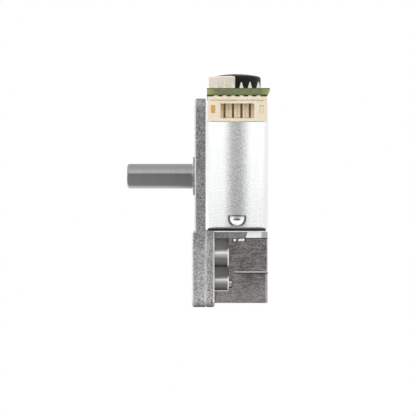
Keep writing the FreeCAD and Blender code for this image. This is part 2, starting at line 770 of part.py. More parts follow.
for y in cap_screw_ys:
    cap_screw_holes.append(rod("z", "screw_radius", ("block_bottom", "crown_z"), "cap_screw_x", y))
    cap_screw_holes.append(rod("z", "screw_head_radius + screw_head_gap", ("block_bottom", "cap_head_seat"),
                               "cap_screw_x", y))
node("lower_cap", cut(cap_body, shaft_tunnel, rear_bush_seat, *cap_screw_holes))

# Screws: slotted cheese heads, one group for each place

def screw_along_x(y, z, tip):
    head = rod("x", "screw_head_radius", ("head_seat - screw_head_height", "head_seat"), y, z)
    slot = box(("head_seat - screw_head_height", "head_seat - screw_head_height + screw_slot_depth"),
               (f"{y} - screw_slot_width / 2", f"{y} + screw_slot_width / 2"),
               (f"{z} - screw_head_radius", f"{z} + screw_head_radius"))
    return cut(join(head, rod("x", "screw_radius", ("head_seat", tip), y, z)), slot)


def screw_along_z(radius, head_radius, head_height, seat, tip, x, y):
    head = rod("z", head_radius, (f"{seat} - {head_height}", seat), x, y)
    slot = box((f"{x} - {head_radius}", f"{x} + {head_radius}"),
               (f"{y} - screw_slot_width / 2", f"{y} + screw_slot_width / 2"),
               (f"{seat} - {head_height}", f"{seat} - {head_height} + screw_slot_depth"))
    return cut(join(head, rod("z", radius, (seat, tip), x, y)), slot)


node("case_screws", group(*[screw_along_x(*spot) for spot in case_screw_places]))
node("cap_screws", group(*[
    screw_along_z("screw_radius", "screw_head_radius", "screw_head_height", "cap_head_seat",
                  "crown_z + cap_screw_bite", "cap_screw_x", y) for y in cap_screw_ys]))
node("motor_screws", group(*[
    screw_along_z("motor_screw_radius", "motor_screw_head_radius", "motor_screw_head_height", "motor_head_seat",
                  "gearbox_top + motor_screw_bite", "motor_x", y) for y in motor_screw_ys]))

# Motor can: drawn steel with two flats, closed at the gearbox end and set on a fibre gasket


def flat_round(radius, half_flat, span):
    """The can's section: a round bar with two flats that face along X."""
    return overlap(rod("z", radius, span, "motor_x", "0"),
                   box((f"motor_x - ({half_flat})", f"motor_x + ({half_flat})"),
                       (f"-({radius})", radius), span))


gasket_span = ("gearbox_top", "can_front")
node("motor_gasket", cut(
    flat_round("can_round / 2 - gasket_inset", "can_flat / 2 - gasket_inset", gasket_span),
    rod("z", "can_boss_radius", gasket_span, "motor_x", "0"),
    *[rod("z", "motor_screw_radius", gasket_span, "motor_x", y) for y in motor_screw_ys],
))
can_shell = soften(flat_round("can_round / 2", "can_flat / 2", ("can_front", "can_rear")),
                   "Part::Fillet", "can_bottom_round", lambda edge: on_plane(edge, "z", "can_front"))
dimple_sphere = "(dimple_half_width ^ 2 + dimple_depth ^ 2) / (2 * dimple_depth)"
dimples = []
for side in (-1, 1):
    bowl = doc.addObject("Part::Sphere", "Bowl")
    bind(bowl, Radius=dimple_sphere)
    place(bowl, "motor_x", f"{side} * (can_round / 2 - dimple_depth + {dimple_sphere})",
          "can_front + dimple_rise")
    below_lip = box(("motor_x - can_flat / 2", "motor_x + can_flat / 2"), ("-can_round", "can_round"),
                    ("can_front", "can_front + dimple_rise + dimple_lip"))
    dimples.append(overlap(bowl, below_lip))
motor_screw_threads = [
    rod("z", "motor_screw_radius", ("can_front", "can_front + can_wall"), "motor_x", y) for y in motor_screw_ys
]
node("motor_can", cut(
    join(
        cut(can_shell, flat_round("can_inner_radius", "can_inner_flat", ("can_front + can_wall", "can_rear"))),
        rod("z", "can_boss_radius", ("can_front - can_boss_length", "can_front + can_wall"), "motor_x", "0"),
    ),
    rod("z", "motor_bush_radius", ("can_front - can_boss_length", "can_front + can_wall"), "motor_x", "0"),
    *dimples,
    *motor_screw_threads,
))
node("motor_front_bush", tube("z", "motor_bush_radius", "motor_shaft_radius + running_gap",
                              ("can_front - can_boss_length", "front_bush_end"), "motor_x", "0"))

# Field magnets on the can's round sides, held apart by a leaf spring


def ring_sector(outer, inner, span, start, angle):
    """A piece of a ring round the motor's axis."""
    sector = doc.addObject("Part::Cylinder", "Sector")
    bind(sector, Radius=outer, Height=f"({span[1]}) - ({span[0]})", Angle=angle)
    sector.Placement.Rotation = FreeCAD.Rotation(FreeCAD.Vector(0, 0, 1), start)
    place(sector, "motor_x", "0", span[0])
    return cut(sector, rod("z", inner, span, "motor_x", "0"))


magnet_height = ("magnet_low", "magnet_low + magnet_length")
node("field_magnets", group(*[
    ring_sector("can_inner_radius", "magnet_inner", magnet_height, middle - value("magnet_span") / 2,
                "magnet_span")
    for middle in (90, 270)]))
node("magnet_spring", box(
    ("motor_x - can_inner_flat", "motor_x - can_inner_flat + magnet_spring_thickness"),
    ("-magnet_inner / 2", "magnet_inner / 2"), magnet_height))

# Rotor: shaft, three-pole armature, windings, commutator, washers and pinion

node("motor_shaft", rod("z", "motor_shaft_radius", ("pinion_end", "disc_high - disc_hub_drop"), "motor_x", "0"))
pole_angles = (60, 180, 300)


def slot_rod(radius, reach, span, angle):
    return rod("z", radius, span, f"motor_x + ({reach}) * cos({angle})", f"({reach}) * sin({angle})")


core_span = ("armature_low", "armature_high")
node("armature_core", cut(
    rod("z", "armature_radius", core_span, "motor_x", "0"),
    rod("z", "motor_shaft_radius", core_span, "motor_x", "0"),
    *[slot_rod("slot_radius", "slot_place - slot_mouth_radius", core_span, angle) for angle in pole_angles],
    *[slot_rod("slot_mouth_radius", "armature_radius - slot_mouth_radius / 2", core_span, angle)
      for angle in pole_angles],
))
node("windings", group(*[
    slot_rod("slot_radius - winding_gap", "slot_place - slot_mouth_radius",
             ("armature_low - winding_overhang", "armature_high + winding_overhang"), angle)
    for angle in pole_angles]))
commutator_span = ("commutator_low", "commutator_high")
node("commutator_sleeve", tube("z", "commutator_radius - commutator_wall", "motor_shaft_radius",
                               ("armature_high", "commutator_high"), "motor_x", "0"))
node("commutator", group(*[
    ring_sector("commutator_radius", "commutator_radius - commutator_wall", commutator_span, angle,
                "120 - commutator_slit") for angle in pole_angles]))
node("rotor_washers", group(
    tube("z", "washer_radius", "motor_shaft_radius",
         ("front_bush_end + side_gap", "front_bush_end + side_gap + washer_thickness"), "motor_x", "0"),
    tube("z", "washer_radius", "motor_shaft_radius",
         ("commutator_high", "commutator_high + washer_thickness"), "motor_x", "0"),
))
tooth_to_crown = 180
node("motor_pinion", shaped(
    gear_prism("motor_pinion_teeth", "fine_module", "pinion_top - pinion_end", tooth_to_crown,
               "motor_shaft_radius"),
    "motor_x", "0", "pinion_end"))

# End cap with its bush, brushes, brush arms and terminals

terminal_ys = [("-terminal_y - terminal_thickness / 2", "-terminal_y + terminal_thickness / 2"),
               ("terminal_y - terminal_thickness / 2", "terminal_y + terminal_thickness / 2")]
terminal_x = ("motor_x - terminal_width / 2", "motor_x + terminal_width / 2")
posts = [
    box(("motor_x - post_width / 2", "motor_x + post_width / 2"),
        (f"{side} * terminal_y - post_depth / 2", f"{side} * terminal_y + post_depth / 2"),
        ("end_cap_low", "board_low - terminal_solder_height"))
    for side in (-1, 1)
]
terminals = [box(terminal_x, span, ("end_cap_low", "board_high")) for span in terminal_ys]
node("motor_end_cap", cut(
    join(
        flat_round("can_inner_radius", "can_inner_flat", ("end_cap_low", "can_rear")),
        rod("z", "end_cap_boss_radius", ("can_rear", "end_cap_top"), "motor_x", "0"),
        *posts,
    ),
    rod("z", "motor_bush_radius", ("end_cap_low", "end_cap_top"), "motor_x", "0"),
    *terminals,
))
node("motor_rear_bush", tube("z", "motor_bush_radius", "motor_shaft_radius + running_gap",
                             ("end_cap_low", "end_cap_top"), "motor_x", "0"))
node("motor_terminals", group(*terminals))
brush_blocks = []
brush_arms = []
for side in (-1, 1):
    inner, outer, arm_outer, post = sorted(
        (f"{side} * brush_inner", f"{side} * brush_outer", f"{side} * (brush_outer + arm_thickness)",
         f"{side} * (terminal_y + terminal_thickness / 2)"), key=lambda text: abs(value(text)))
    brush_blocks.append(box(("motor_x - brush_width / 2", "motor_x + brush_width / 2"),
                            sorted((inner, outer), key=value),
                            ("brush_z - brush_height / 2", "brush_z + brush_height / 2")))
    upright = box(terminal_x, sorted((outer, arm_outer), key=value), ("end_cap_low - arm_drop", "end_cap_low"))
    foot = box(terminal_x, sorted((outer, post), key=value), ("end_cap_low - arm_thickness", "end_cap_low"))
    brush_arms.append(join(upright, foot))
node("brushes", group(*brush_blocks))
node("brush_arms", group(*brush_arms))

# Encoder board on the terminals and posts, with a snapped edge that slopes on one side

board = doc.addObject("PartDesign::Body", "Board")


def body_plane(body, role):
    return next(feature for feature in body.Origin.OriginFeatures if feature.Role == role)


def sketch_outline(body, name, role, corners):
    """A closed outline of straight lines, with each corner held by bound distances from the origin."""
    sketch = body.newObject("Sketcher::SketchObject", name)
    sketch.AttachmentSupport = [(body_plane(body, role), "")]
    sketch.MapMode = "FlatFace"
    points = [FreeCAD.Vector(value(across), value(up), 0) for across, up in corners]
    for start, end in zip(points, points[1:] + points[:1]):
        sketch.addGeometry(Part.LineSegment(start, end))
    count = len(corners)
    for index, (across, up) in enumerate(corners):
        sketch.addConstraint(Sketcher.Constraint("Coincident", index - 1 if index else count - 1, 2, index, 1))
        for kind, formula in (("DistanceX", across), ("DistanceY", up)):
            number = sketch.addConstraint(Sketcher.Constraint(kind, -1, 1, index, 1, value(formula)))
            sketch.setExpression(f"Constraints[{number}]", resolve(formula))
    return sketch


board_profile = sketch_outline(board, "board_profile", "XZ_Plane", [
    ("motor_x - board_left", "board_low"),
    ("motor_x + board_right - board_slope", "board_low"),
    ("motor_x + board_right", "board_high - board_square"),
    ("motor_x + board_right", "board_high"),
    ("motor_x - board_left", "board_high"),
])
board_pad = board.newObject("PartDesign::Pad", "board_pad")
board_pad.Profile = board_profile
board_pad.SideType = "Two sides"
bind(board_pad, Length="board_front", Length2="board_back")
doc.recompute()
pin_xs = [
    f"motor_x + ({index} - (pin_count - 1) / 2) * pin_pitch" for index in range(round(value("pin_count")))
]


def pins_between(width, span):
    return [
        box((f"{x} - ({width}) / 2", f"{x} + ({width}) / 2"),
            (f"pin_y - ({width}) / 2", f"pin_y + ({width}) / 2"), span)
        for x in pin_xs
    ]


node("encoder_board", cut(
    board,
    rod("z", "board_hole_radius", ("board_low", "board_high"), "motor_x", "0"),
    *pins_between("pin_width + 2 * pin_hole_gap", ("board_low", "board_high")),
    *[box((f"{terminal_x[0]} - terminal_hole_gap", f"{terminal_x[1]} + terminal_hole_gap"),
          (f"{span[0]} - terminal_hole_gap", f"{span[1]} + terminal_hole_gap"), ("board_low", "board_high"))
      for span in terminal_ys],
))

# Connector under the board: nylon housing with its mouth down, pins and solder

connector_sides = ("motor_x - connector_half", "motor_x + connector_half")
connector_mouth = (f"{connector_sides[0]} + connector_end_wall", f"{connector_sides[1]} - connector_end_wall")
connector_window_low = "connector_bottom + connector_window_rise"
connector_slot_low = "connector_bottom + connector_slot_rise"
connector_feet = [
    box((f"{x} - connector_foot_width / 2", f"{x} + connector_foot_width / 2"),
        ("connector_front", "connector_back"), ("connector_top", "board_low")) for x in pin_xs
]
connector_shell = join(
    box(connector_sides, ("connector_front", "connector_back"), ("connector_bottom", "connector_top")),
    box(connector_sides, ("connector_front - connector_ledge", "connector_back"),
        ("connector_top - connector_ledge_height", "connector_top")),
    *connector_feet,
)
slot_lefts = ("motor_x - connector_half + connector_slot_inset",
              "motor_x + connector_half - connector_slot_inset - connector_slot_width")
connector_groove_low = "connector_top - connector_ledge_height - connector_groove"
node("connector_housing", cut(
    connector_shell,
    box(connector_mouth, ("connector_front", "connector_front + connector_groove"),
        (connector_groove_low, "connector_top - connector_ledge_height")),
    box(connector_mouth, ("connector_front + connector_wall", "connector_back - connector_wall"),
        ("connector_bottom", "connector_top - connector_floor")),
    box(("motor_x - connector_window_width / 2", "motor_x + connector_window_width / 2"),
        ("connector_front", "connector_front + connector_wall"),
        (connector_window_low, f"{connector_window_low} + connector_window_height")),
    *[box((left, f"{left} + connector_slot_width"), ("connector_front", "connector_front + connector_wall"),
          (connector_slot_low, f"{connector_slot_low} + connector_slot_height")) for left in slot_lefts],
    *pins_between("pin_width", ("connector_top - connector_floor", "board_low")),
))
node("connector_pins", group(*pins_between("pin_width", ("board_low - pin_drop", "board_high + pin_rise"))))
node("connector_solder", group(*[
    cut(cone("solder_radius", "solder_tip_radius", ("board_high", "board_high + solder_height"), x, "pin_y"),
        pin)
    for x, pin in zip(pin_xs, pins_between("pin_width", ("board_high", "board_high + pin_rise")))]))
node("terminal_solder", group(*[
    cut(cone("terminal_width / 2", "terminal_solder_radius",
             ("board_low - terminal_solder_height", "board_low"), "motor_x", f"{side} * terminal_y"),
        terminal)
    for side, terminal in zip((-1, 1), terminals)]))

# Encoder magnet on its hub, the sensor carrier beside it and the small parts on the board

disc_ball = doc.addObject("Part::Sphere", "DiscBall")
bind(disc_ball, Radius="disc_dome")
place(disc_ball, "motor_x", "0", "disc_high - disc_dome")
disc_body = soften(overlap(rod("z", "disc_radius", ("disc_low", "disc_high"), "motor_x", "0"), disc_ball),
                   "Part::Fillet", "disc_round", lambda edge: on_plane(edge, "z", "disc_high - disc_crown"))
node("encoder_magnet", cut(disc_body, rod("z", "disc_hub_radius", ("disc_low", "disc_high"), "motor_x", "0")))
node("encoder_hub", tube("z", "disc_hub_radius", "motor_shaft_radius",
                         ("disc_low", "disc_high - disc_hub_drop"), "motor_x", "0"))
carrier = doc.addObject("Part::Box", "Carrier")
bind(carrier, Length="carrier_length", Width="carrier_depth", Height="carrier_height")
carrier.Placement.Rotation = FreeCAD.Rotation(FreeCAD.Vector(0, 0, 1), -value("carrier_swing"))
carrier_outer = "(carrier_distance + carrier_depth / 2)"
place(carrier,
      f"motor_x - {carrier_outer} * sin(carrier_swing) - carrier_length / 2 * cos(carrier_swing)",
      f"-{carrier_outer} * cos(carrier_swing) + carrier_length / 2 * sin(carrier_swing)",
      "board_high")
node("sensor_carrier", soften(carrier, "Part::Fillet", "carrier_round",
                              lambda edge: edge.BoundBox.ZMin > value("board_high") - TOUCH
                              and not on_plane(edge, "z", "board_high")))
node("hall_sensors", group(*[
    box((f"motor_x + {side} * sensor_spread / 2 - sensor_length / 2",
         f"motor_x + {side} * sensor_spread / 2 + sensor_length / 2"),
        ("sensor_y", "sensor_y + sensor_depth"), ("board_high", "board_high + sensor_height"))
    for side in (-1, 1)]))
node("board_chips", group(*[
    box((f"motor_x - board_left + chip_inset + {index} * chip_pitch",
         f"motor_x - board_left + chip_inset + {index} * chip_pitch + chip_length"),
        ("board_back - chip_inset - chip_width", "board_back - chip_inset"),
        ("board_high", "board_high + chip_height"))
    for index in range(round(value("chip_count")))]))

doc.recompute()
for obj in doc.Objects:
    if "Invalid" in obj.State or "Error" in obj.State:
        raise RuntimeError(f"{obj.Label} failed: {obj.State}")
for piece in nodes:
    if piece.Shape.isNull() or not piece.Shape.isValid():
        raise RuntimeError(f"{piece.Label} has no valid shape")

os.makedirs("parts", exist_ok=True)
for piece in nodes:
    piece.Shape.exportStep(f"parts/{piece.Label}.step")
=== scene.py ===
import math

import bmesh
import bpy
from mathutils import Color, Matrix, Vector


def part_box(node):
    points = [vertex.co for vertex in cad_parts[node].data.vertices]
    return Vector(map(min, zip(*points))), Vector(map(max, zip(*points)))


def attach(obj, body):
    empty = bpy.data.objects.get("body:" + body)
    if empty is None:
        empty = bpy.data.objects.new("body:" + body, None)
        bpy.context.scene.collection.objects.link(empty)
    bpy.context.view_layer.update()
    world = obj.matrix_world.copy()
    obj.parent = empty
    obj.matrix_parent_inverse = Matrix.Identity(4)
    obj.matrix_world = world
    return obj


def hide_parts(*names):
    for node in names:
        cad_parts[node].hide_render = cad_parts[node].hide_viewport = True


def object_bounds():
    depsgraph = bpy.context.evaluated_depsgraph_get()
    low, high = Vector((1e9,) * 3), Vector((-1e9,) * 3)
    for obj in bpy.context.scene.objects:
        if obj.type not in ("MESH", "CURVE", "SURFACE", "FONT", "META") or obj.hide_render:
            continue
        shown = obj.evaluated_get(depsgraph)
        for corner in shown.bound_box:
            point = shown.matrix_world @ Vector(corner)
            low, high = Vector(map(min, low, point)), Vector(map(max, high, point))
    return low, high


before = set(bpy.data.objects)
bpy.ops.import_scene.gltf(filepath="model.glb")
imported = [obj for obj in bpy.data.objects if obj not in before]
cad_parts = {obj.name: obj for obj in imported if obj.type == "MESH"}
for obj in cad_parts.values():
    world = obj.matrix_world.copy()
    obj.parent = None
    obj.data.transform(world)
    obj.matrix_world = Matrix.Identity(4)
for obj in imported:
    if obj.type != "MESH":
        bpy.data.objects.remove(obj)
cad_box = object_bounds()


# Front casting, rear casting and lower cap: the gearbox shell, die-cast in zinc with a grainy skin.
# Low down the skin is worn, scratched and nicked. Its corners are rubbed and painted bright as highlights.
# The block behind the flange is milled after casting, which leaves fine streaks and a browner tone.
MM = 0.001
FULL_STEP = 255
ZONE_BLUR = 0.05 * MM


def put(tree, kind, feeds, **settings):
    """A shader node with its settings, and its inputs set to values or linked to sockets."""
    node = tree.nodes.new("ShaderNode" + kind)
    for name, setting in settings.items():
        setattr(node, name, setting)
    for key, source in feeds.items():
        if isinstance(source, bpy.types.NodeSocket):
            tree.links.new(source, node.inputs[key])
        else:
            node.inputs[key].default_value = source
    return node


def paint(steps):
    """A colour given in the usual 0 to 255 steps, as the shader's own light values."""
    shown = Color([step / FULL_STEP for step in steps])
    return (*shown.from_srgb_to_scene_linear(), 1)


def tone(tree, mask, low, high):
    """A colour that goes from low to high as the mask grows. Each is a socket or plain steps."""
    first, last = (paint(end) if isinstance(end, tuple) else end for end in (low, high))
    return put(tree, "Mix", {0: mask, 6: first, 7: last}, data_type="RGBA").outputs[2]


def spread(tree, amount, low, high, start=0.0, stop=1.0):
    """An amount between start and stop, mapped to low and high."""
    feeds = {"Value": amount, "From Min": start, "From Max": stop, "To Min": low, "To Max": high}
    return put(tree, "MapRange", feeds).outputs["Result"]


def grow(tree, amount, start, stop):
    """A mask that grows from 0 at start to 1 at stop."""
    return spread(tree, amount, 0.0, 1.0, start, stop)


def fade(tree, amount, start, stop):
    """A mask that fades from 1 at start to 0 at stop."""
    return spread(tree, amount, 1.0, 0.0, start, stop)


def work(tree, operation, first, second=0.0):
    """One sum on two amounts."""
    return put(tree, "Math", {0: first, 1: second}, operation=operation).outputs["Value"]


def both(tree, first, *others):
    """The product of masks and shares."""
    product = first
    for other in others:
        product = work(tree, "MULTIPLY", product, other)
    return product


def apart(tree, amount, middle):
    """How far an amount lies from a middle, to either side."""
    return work(tree, "ABSOLUTE", work(tree, "SUBTRACT", amount, middle))


def reach_of(tree, across, up, square):
    """How far two distances reach together: round for a square of 2, and squarer above it."""
    total = work(tree, "ADD", work(tree, "POWER", across, square), work(tree, "POWER", up, square))
    return work(tree, "POWER", total, 1 / square)


def vector_work(tree, operation, *vectors):
    """One sum on vectors. It gives a vector, or a value for a dot product."""
    node = put(tree, "VectorMath", dict(enumerate(vectors)), operation=operation)
    return node.outputs["Value" if operation == "DOT_PRODUCT" else "Vector"]


def parts_of(tree, vector):
    """The x, y and z of a vector."""
    return put(tree, "SeparateXYZ", {"Vector": vector}).outputs


def object_place(tree):
    """The place on the object, in metres."""
    return put(tree, "TexCoord", {}).outputs["Object"]


def place_of(tree):
    """The object's own x, y and z in metres."""
    return parts_of(tree, object_place(tree))


def facing_of(tree):
    """The direction that the surface faces."""
    return put(tree, "NewGeometry", {}).outputs["Normal"]


def new_group(name, inputs, outputs):
    """An empty node group with float inputs and outputs, and its two end nodes."""
    tree = bpy.data.node_groups.new(name, "ShaderNodeTree")
    for socket_name in inputs:
        tree.interface.new_socket(socket_name, in_out="INPUT", socket_type="NodeSocketFloat")
    for socket_name in outputs:
        tree.interface.new_socket(socket_name, in_out="OUTPUT", socket_type="NodeSocketFloat")
    return tree, tree.nodes.new("NodeGroupInput").outputs, tree.nodes.new("NodeGroupOutput").inputs


def noise(tree, place, scale, detail, clear_range):
    """A noise mask, stretched so that the clear range of the noise fills it."""
    node = put(tree, "TexNoise", {"Vector": place, "Scale": scale, "Detail": detail})
    return grow(tree, node.outputs["Fac"], *clear_range)


def new_material(name, nodes=(), **constants):
    """A material with its constants set on its shader. The CAD nodes of these names take it."""
    material = bpy.data.materials.new(name)
    material.use_nodes = True
    shader = material.node_tree.nodes["Principled BSDF"]
    for socket_name, constant in constants.items():
        shader.inputs[socket_name.replace("_", " ")].default_value = constant
    for node_name in nodes:
        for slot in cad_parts[node_name].material_slots:
            slot.material = material
    return material


def dress(tree, colour, roughness, height, relief, normal=None):
    """Links a colour, a roughness and a height that stands up by relief metres over the normal."""
    shader = tree.nodes["Principled BSDF"]
    tree.links.new(colour, shader.inputs["Base Color"])
    tree.links.new(roughness, shader.inputs["Roughness"])
    bump = put(tree, "Bump", {"Height": height, "Distance": relief})
    if normal:
        tree.links.new(normal, bump.inputs["Normal"])
    tree.links.new(bump.outputs["Normal"], shader.inputs["Normal"])


# the fine grain and the soft patches of a cast or moulded skin
cast_skin, skin_in, skin_out = new_group("cast_skin", ["Grains", "Patches"], ["Grain", "Patch"])
skin_place = object_place(cast_skin)
grain = noise(cast_skin, skin_place, skin_in["Grains"], detail=3.0, clear_range=(0.32, 0.68))
patch = noise(cast_skin, skin_place, skin_in["Patches"], detail=4.0, clear_range=(0.3, 0.7))
cast_skin.links.new(grain, skin_out["Grain"])
cast_skin.links.new(patch, skin_out["Patch"])

# the corners that handling rubs, also painted bright as highlights, and painted highlights on the chamfers
# around the shaft's direction
CORNER_TURN = (0.78, 0.985)
BEVEL_LEAN = (0.25, 0.45)
worn_and_highlit_edges, edge_in, edge_out = new_group("worn_and_highlit_edges", ["Width"], ["Edge"])
rounded = put(worn_and_highlit_edges, "Bevel", {"Radius": edge_in["Width"]}, samples=6).outputs["Normal"]
facing = facing_of(worn_and_highlit_edges)
corner = fade(worn_and_highlit_edges, vector_work(worn_and_highlit_edges, "DOT_PRODUCT", rounded, facing), *CORNER_TURN)
lean = work(worn_and_highlit_edges, "ABSOLUTE", parts_of(worn_and_highlit_edges, facing)["X"])
upright = work(worn_and_highlit_edges, "SQRT", work(worn_and_highlit_edges, "SUBTRACT", 1.0, both(worn_and_highlit_edges, lean, lean)))
chamfer_highlight = grow(worn_and_highlit_edges, both(worn_and_highlit_edges, lean, upright), *BEVEL_LEAN)
worn_and_highlit_edges.links.new(work(worn_and_highlit_edges, "MAXIMUM", corner, chamfer_highlight), edge_out["Edge"])

# the lines that a tool leaves, crosswise to the axes with a high count
tool_lines, lines_in, lines_out = new_group("tool_lines", ["Across X", "Across Y", "Across Z"], ["Line"])
line_counts = put(tool_lines, "CombineXYZ", {axis: lines_in["Across " + axis] for axis in "XYZ"})
line_place = vector_work(tool_lines, "MULTIPLY", object_place(tool_lines), line_counts.outputs["Vector"])
line = noise(tool_lines, line_place, scale=1.0, detail=2.0, clear_range=(0.3, 0.7))
tool_lines.links.new(line, lines_out["Line"])


def skin_of(tree, grains, patches):
    """The grain and patch masks of a skin, by their counts in a metre."""
    return put(tree, "Group", {"Grains": grains, "Patches": patches}, node_tree=cast_skin).outputs


def edge_of(tree, width):
    """The mask of the rubbed edges over a width, with painted edge highlights."""
    return put(tree, "Group", {"Width": width}, node_tree=worn_and_highlit_edges).outputs["Edge"]


def lines_of(tree, counts):
    """The mask of tool lines, by their counts in a metre across x, y and z."""
    feeds = {"Across " + axis: count for axis, count in zip("XYZ", counts)}
    return put(tree, "Group", feeds, node_tree=tool_lines).outputs["Line"]


CLOUD_SHARE = 0.5
WORN_CLOUD_SHARE = 0.6
SCRATCH_LINES = (1900.0, 1900.0, 170.0)
SCRATCH_SHARE = 0.75
NICK_LINES = (4400.0, 4400.0, 1900.0)
NICK_RANGE = (0.66, 0.8)
NICK_SHARE = 0.5
PIT_RANGE = (0.2, 0.36)
PIT_SHARE = 0.42
JOINT_SHINE = 0.42 * MM
JOINT_SHARE = 0.8
JOINT_LEAST = 0.2
plate_low, plate_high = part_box("front_casting")


def cast_tone(tree, skin):
    """The clean grey of the faces as cast, from the grain and the patches of the skin."""
    grey = tone(tree, skin["Grain"], (68, 69, 69), (202, 203, 202))
    return tone(tree, both(tree, skin["Patch"], CLOUD_SHARE), grey, (110, 111, 111))


def worn_tone(tree, skin, place):
    """The grey of the faces low down: scratched, nicked and pitted, and bright along the flange's joint with
    rubbing and a painted highlight.
    """
    scratch = lines_of(tree, SCRATCH_LINES)
    nick = lines_of(tree, NICK_LINES)
    worn = tone(tree, skin["Grain"], (70, 70, 69), (216, 216, 215))
    worn = tone(tree, spread(tree, scratch, SCRATCH_SHARE, 0.0), worn, (202, 202, 201))
    worn = tone(tree, both(tree, skin["Patch"], WORN_CLOUD_SHARE), worn, (104, 104, 103))
    worn = tone(tree, spread(tree, nick, 0.0, NICK_SHARE, *NICK_RANGE), worn, (240, 240, 239))
    worn = tone(tree, spread(tree, nick, PIT_SHARE, 0.0, *PIT_RANGE), worn, (62, 62, 62))
    # the joint's bright line: rubbed, and painted as a highlight
    from_joint = apart(tree, place["X"], plate_high.x)
    at_joint = spread(tree, from_joint, JOINT_SHARE, 0.0, JOINT_SHINE / 3, JOINT_SHINE)
    rubbed = both(tree, at_joint, spread(tree, scratch, 1.0, JOINT_LEAST))
    return tone(tree, rubbed, worn, (236, 236, 235))


FLANGE_THICKNESS = 2.08 * MM
NOTCH_WIDTH = 3.42 * MM
BOSS_START = 7.2 * MM
BOSS_TOP = -15.05 * MM
BOSS_LOW = -27.35 * MM
BOSS_SHADE_FACING = (-0.75, 0.1)
BOSS_HIGHLIGHT_FACING = (0.4, 0.75)
BOSS_ROUGH = 0.34
DULL_SHARE = 0.35
MILLED_CLOUD_SHARE = 0.85
STREAK_LINES = (620.0, 620.0, 3600.0)
STREAK_RANGE = (0.4, 0.9)
STREAK_SHARE = 0.45
PALER_LOW_SHARE = 0.3
SEAM_ZONE = 0.25 * MM
FILLET_EDGE_SHARE = 0.5
cap_low, cap_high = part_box("lower_cap")
flange_end = plate_high.x + FLANGE_THICKNESS
block_start = flange_end + NOTCH_WIDTH


def milled_tone(tree, skin, place):
    """The brownish grey of the milled faces with the cutter's streaks, paler low on the cap."""
    grey = tone(tree, skin["Grain"], (48, 43, 43), (172, 167, 166))
    clouded = tone(tree, both(tree, skin["Patch"], MILLED_CLOUD_SHARE), grey, (78, 73, 73))
    streak = spread(tree, lines_of(tree, STREAK_LINES), 0.0, STREAK_SHARE, *STREAK_RANGE)
    streaked = tone(tree, streak, clouded, (178, 173, 172))
    # paler towards the cap's bottom
    paler_low = spread(tree, place["Z"], PALER_LOW_SHARE, 0.0, cap_low.z, cap_high.z)
    return tone(tree, paler_low, streaked, (164, 160, 160))


def boss_shading(tree):
    """The grey of the screw bosses, with painted shade on their undersides and a painted highlight on top."""
    facing_up = parts_of(tree, facing_of(tree))["Z"]
    side = tone(tree, grow(tree, facing_up, *BOSS_SHADE_FACING), (96, 97, 96), (142, 143, 141))
    return tone(tree, grow(tree, facing_up, *BOSS_HIGHLIGHT_FACING), side, (244, 244, 242))


def mill_block(tree, skin, place, look):
    """Changes a casting's look behind the flange: the milled block, and the notches with their bosses."""
    past_flange = grow(tree, place["X"], flange_end - ZONE_BLUR, flange_end + ZONE_BLUR)
    on_block = both(tree, past_flange, fade(tree, place["Z"], BOSS_TOP, BOSS_TOP + ZONE_BLUR))
    before_block = fade(tree, place["X"], block_start - ZONE_BLUR, block_start)
    over_foot = grow(tree, place["Z"], BOSS_LOW, BOSS_LOW + ZONE_BLUR)
    in_notch = both(tree, on_block, before_block, over_foot)
    outside = grow(tree, work(tree, "ABSOLUTE", place["Y"]), BOSS_START, BOSS_START + ZONE_BLUR)
    on_boss = both(tree, in_notch, outside)
    dulled = tone(tree, both(tree, past_flange, DULL_SHARE), look["colour"], (96, 96, 95))
    block = tone(tree, on_block, dulled, milled_tone(tree, skin, place))
    # the notch walls are painted pale as light that lifts their shade, and the bosses carry painted highlight
    # and shade
    notch = tone(tree, outside, (202, 201, 199), boss_shading(tree))
    off_seam = grow(tree, apart(tree, place["X"], cap_low.x), SEAM_ZONE, 2 * SEAM_ZONE)
    past_fillet = spread(tree, place["X"], FILLET_EDGE_SHARE, 1.0,
                         flange_end - FLANGE_THICKNESS / 2, flange_end - 2 * SEAM_ZONE)
    look["colour"] = tone(tree, in_notch, block, notch)
    look["calm"] = tone(tree, on_block, look["calm"], (112, 107, 106))
    look["roughness"] = spread(tree, on_boss, look["roughness"], BOSS_ROUGH)
    look["edge"] = both(tree, look["edge"], off_seam, fade(tree, on_boss, 0.0, 1.0), past_fillet)


HOLE_Y = 9.0 * MM
HOLE_Z = 11.0 * MM
HOLE_RADIUS = 1.25 * MM
WORN_HEIGHTS = (-17.0 * MM, -12.0 * MM)
CAST_GRAINS = 3700.0
CAST_PATCHES = 240.0
CAST_ROUGH = (0.62, 0.42)
CAST_RELIEF = 0.012 * MM
CALM_FACING = (0.8, 0.95)
CALM_SHARE = 0.65
GRAIN_EDGE_RANGE = (0.5, 1.0)


def hole_mask(tree, place):
    """The mask of the tapped mounting holes."""
    beside = apart(tree, work(tree, "ABSOLUTE", place["Y"]), HOLE_Y)
    above = apart(tree, work(tree, "ABSOLUTE", place["Z"]), HOLE_Z)
    return fade(tree, reach_of(tree, beside, above, square=2), HOLE_RADIUS, HOLE_RADIUS + ZONE_BLUR)


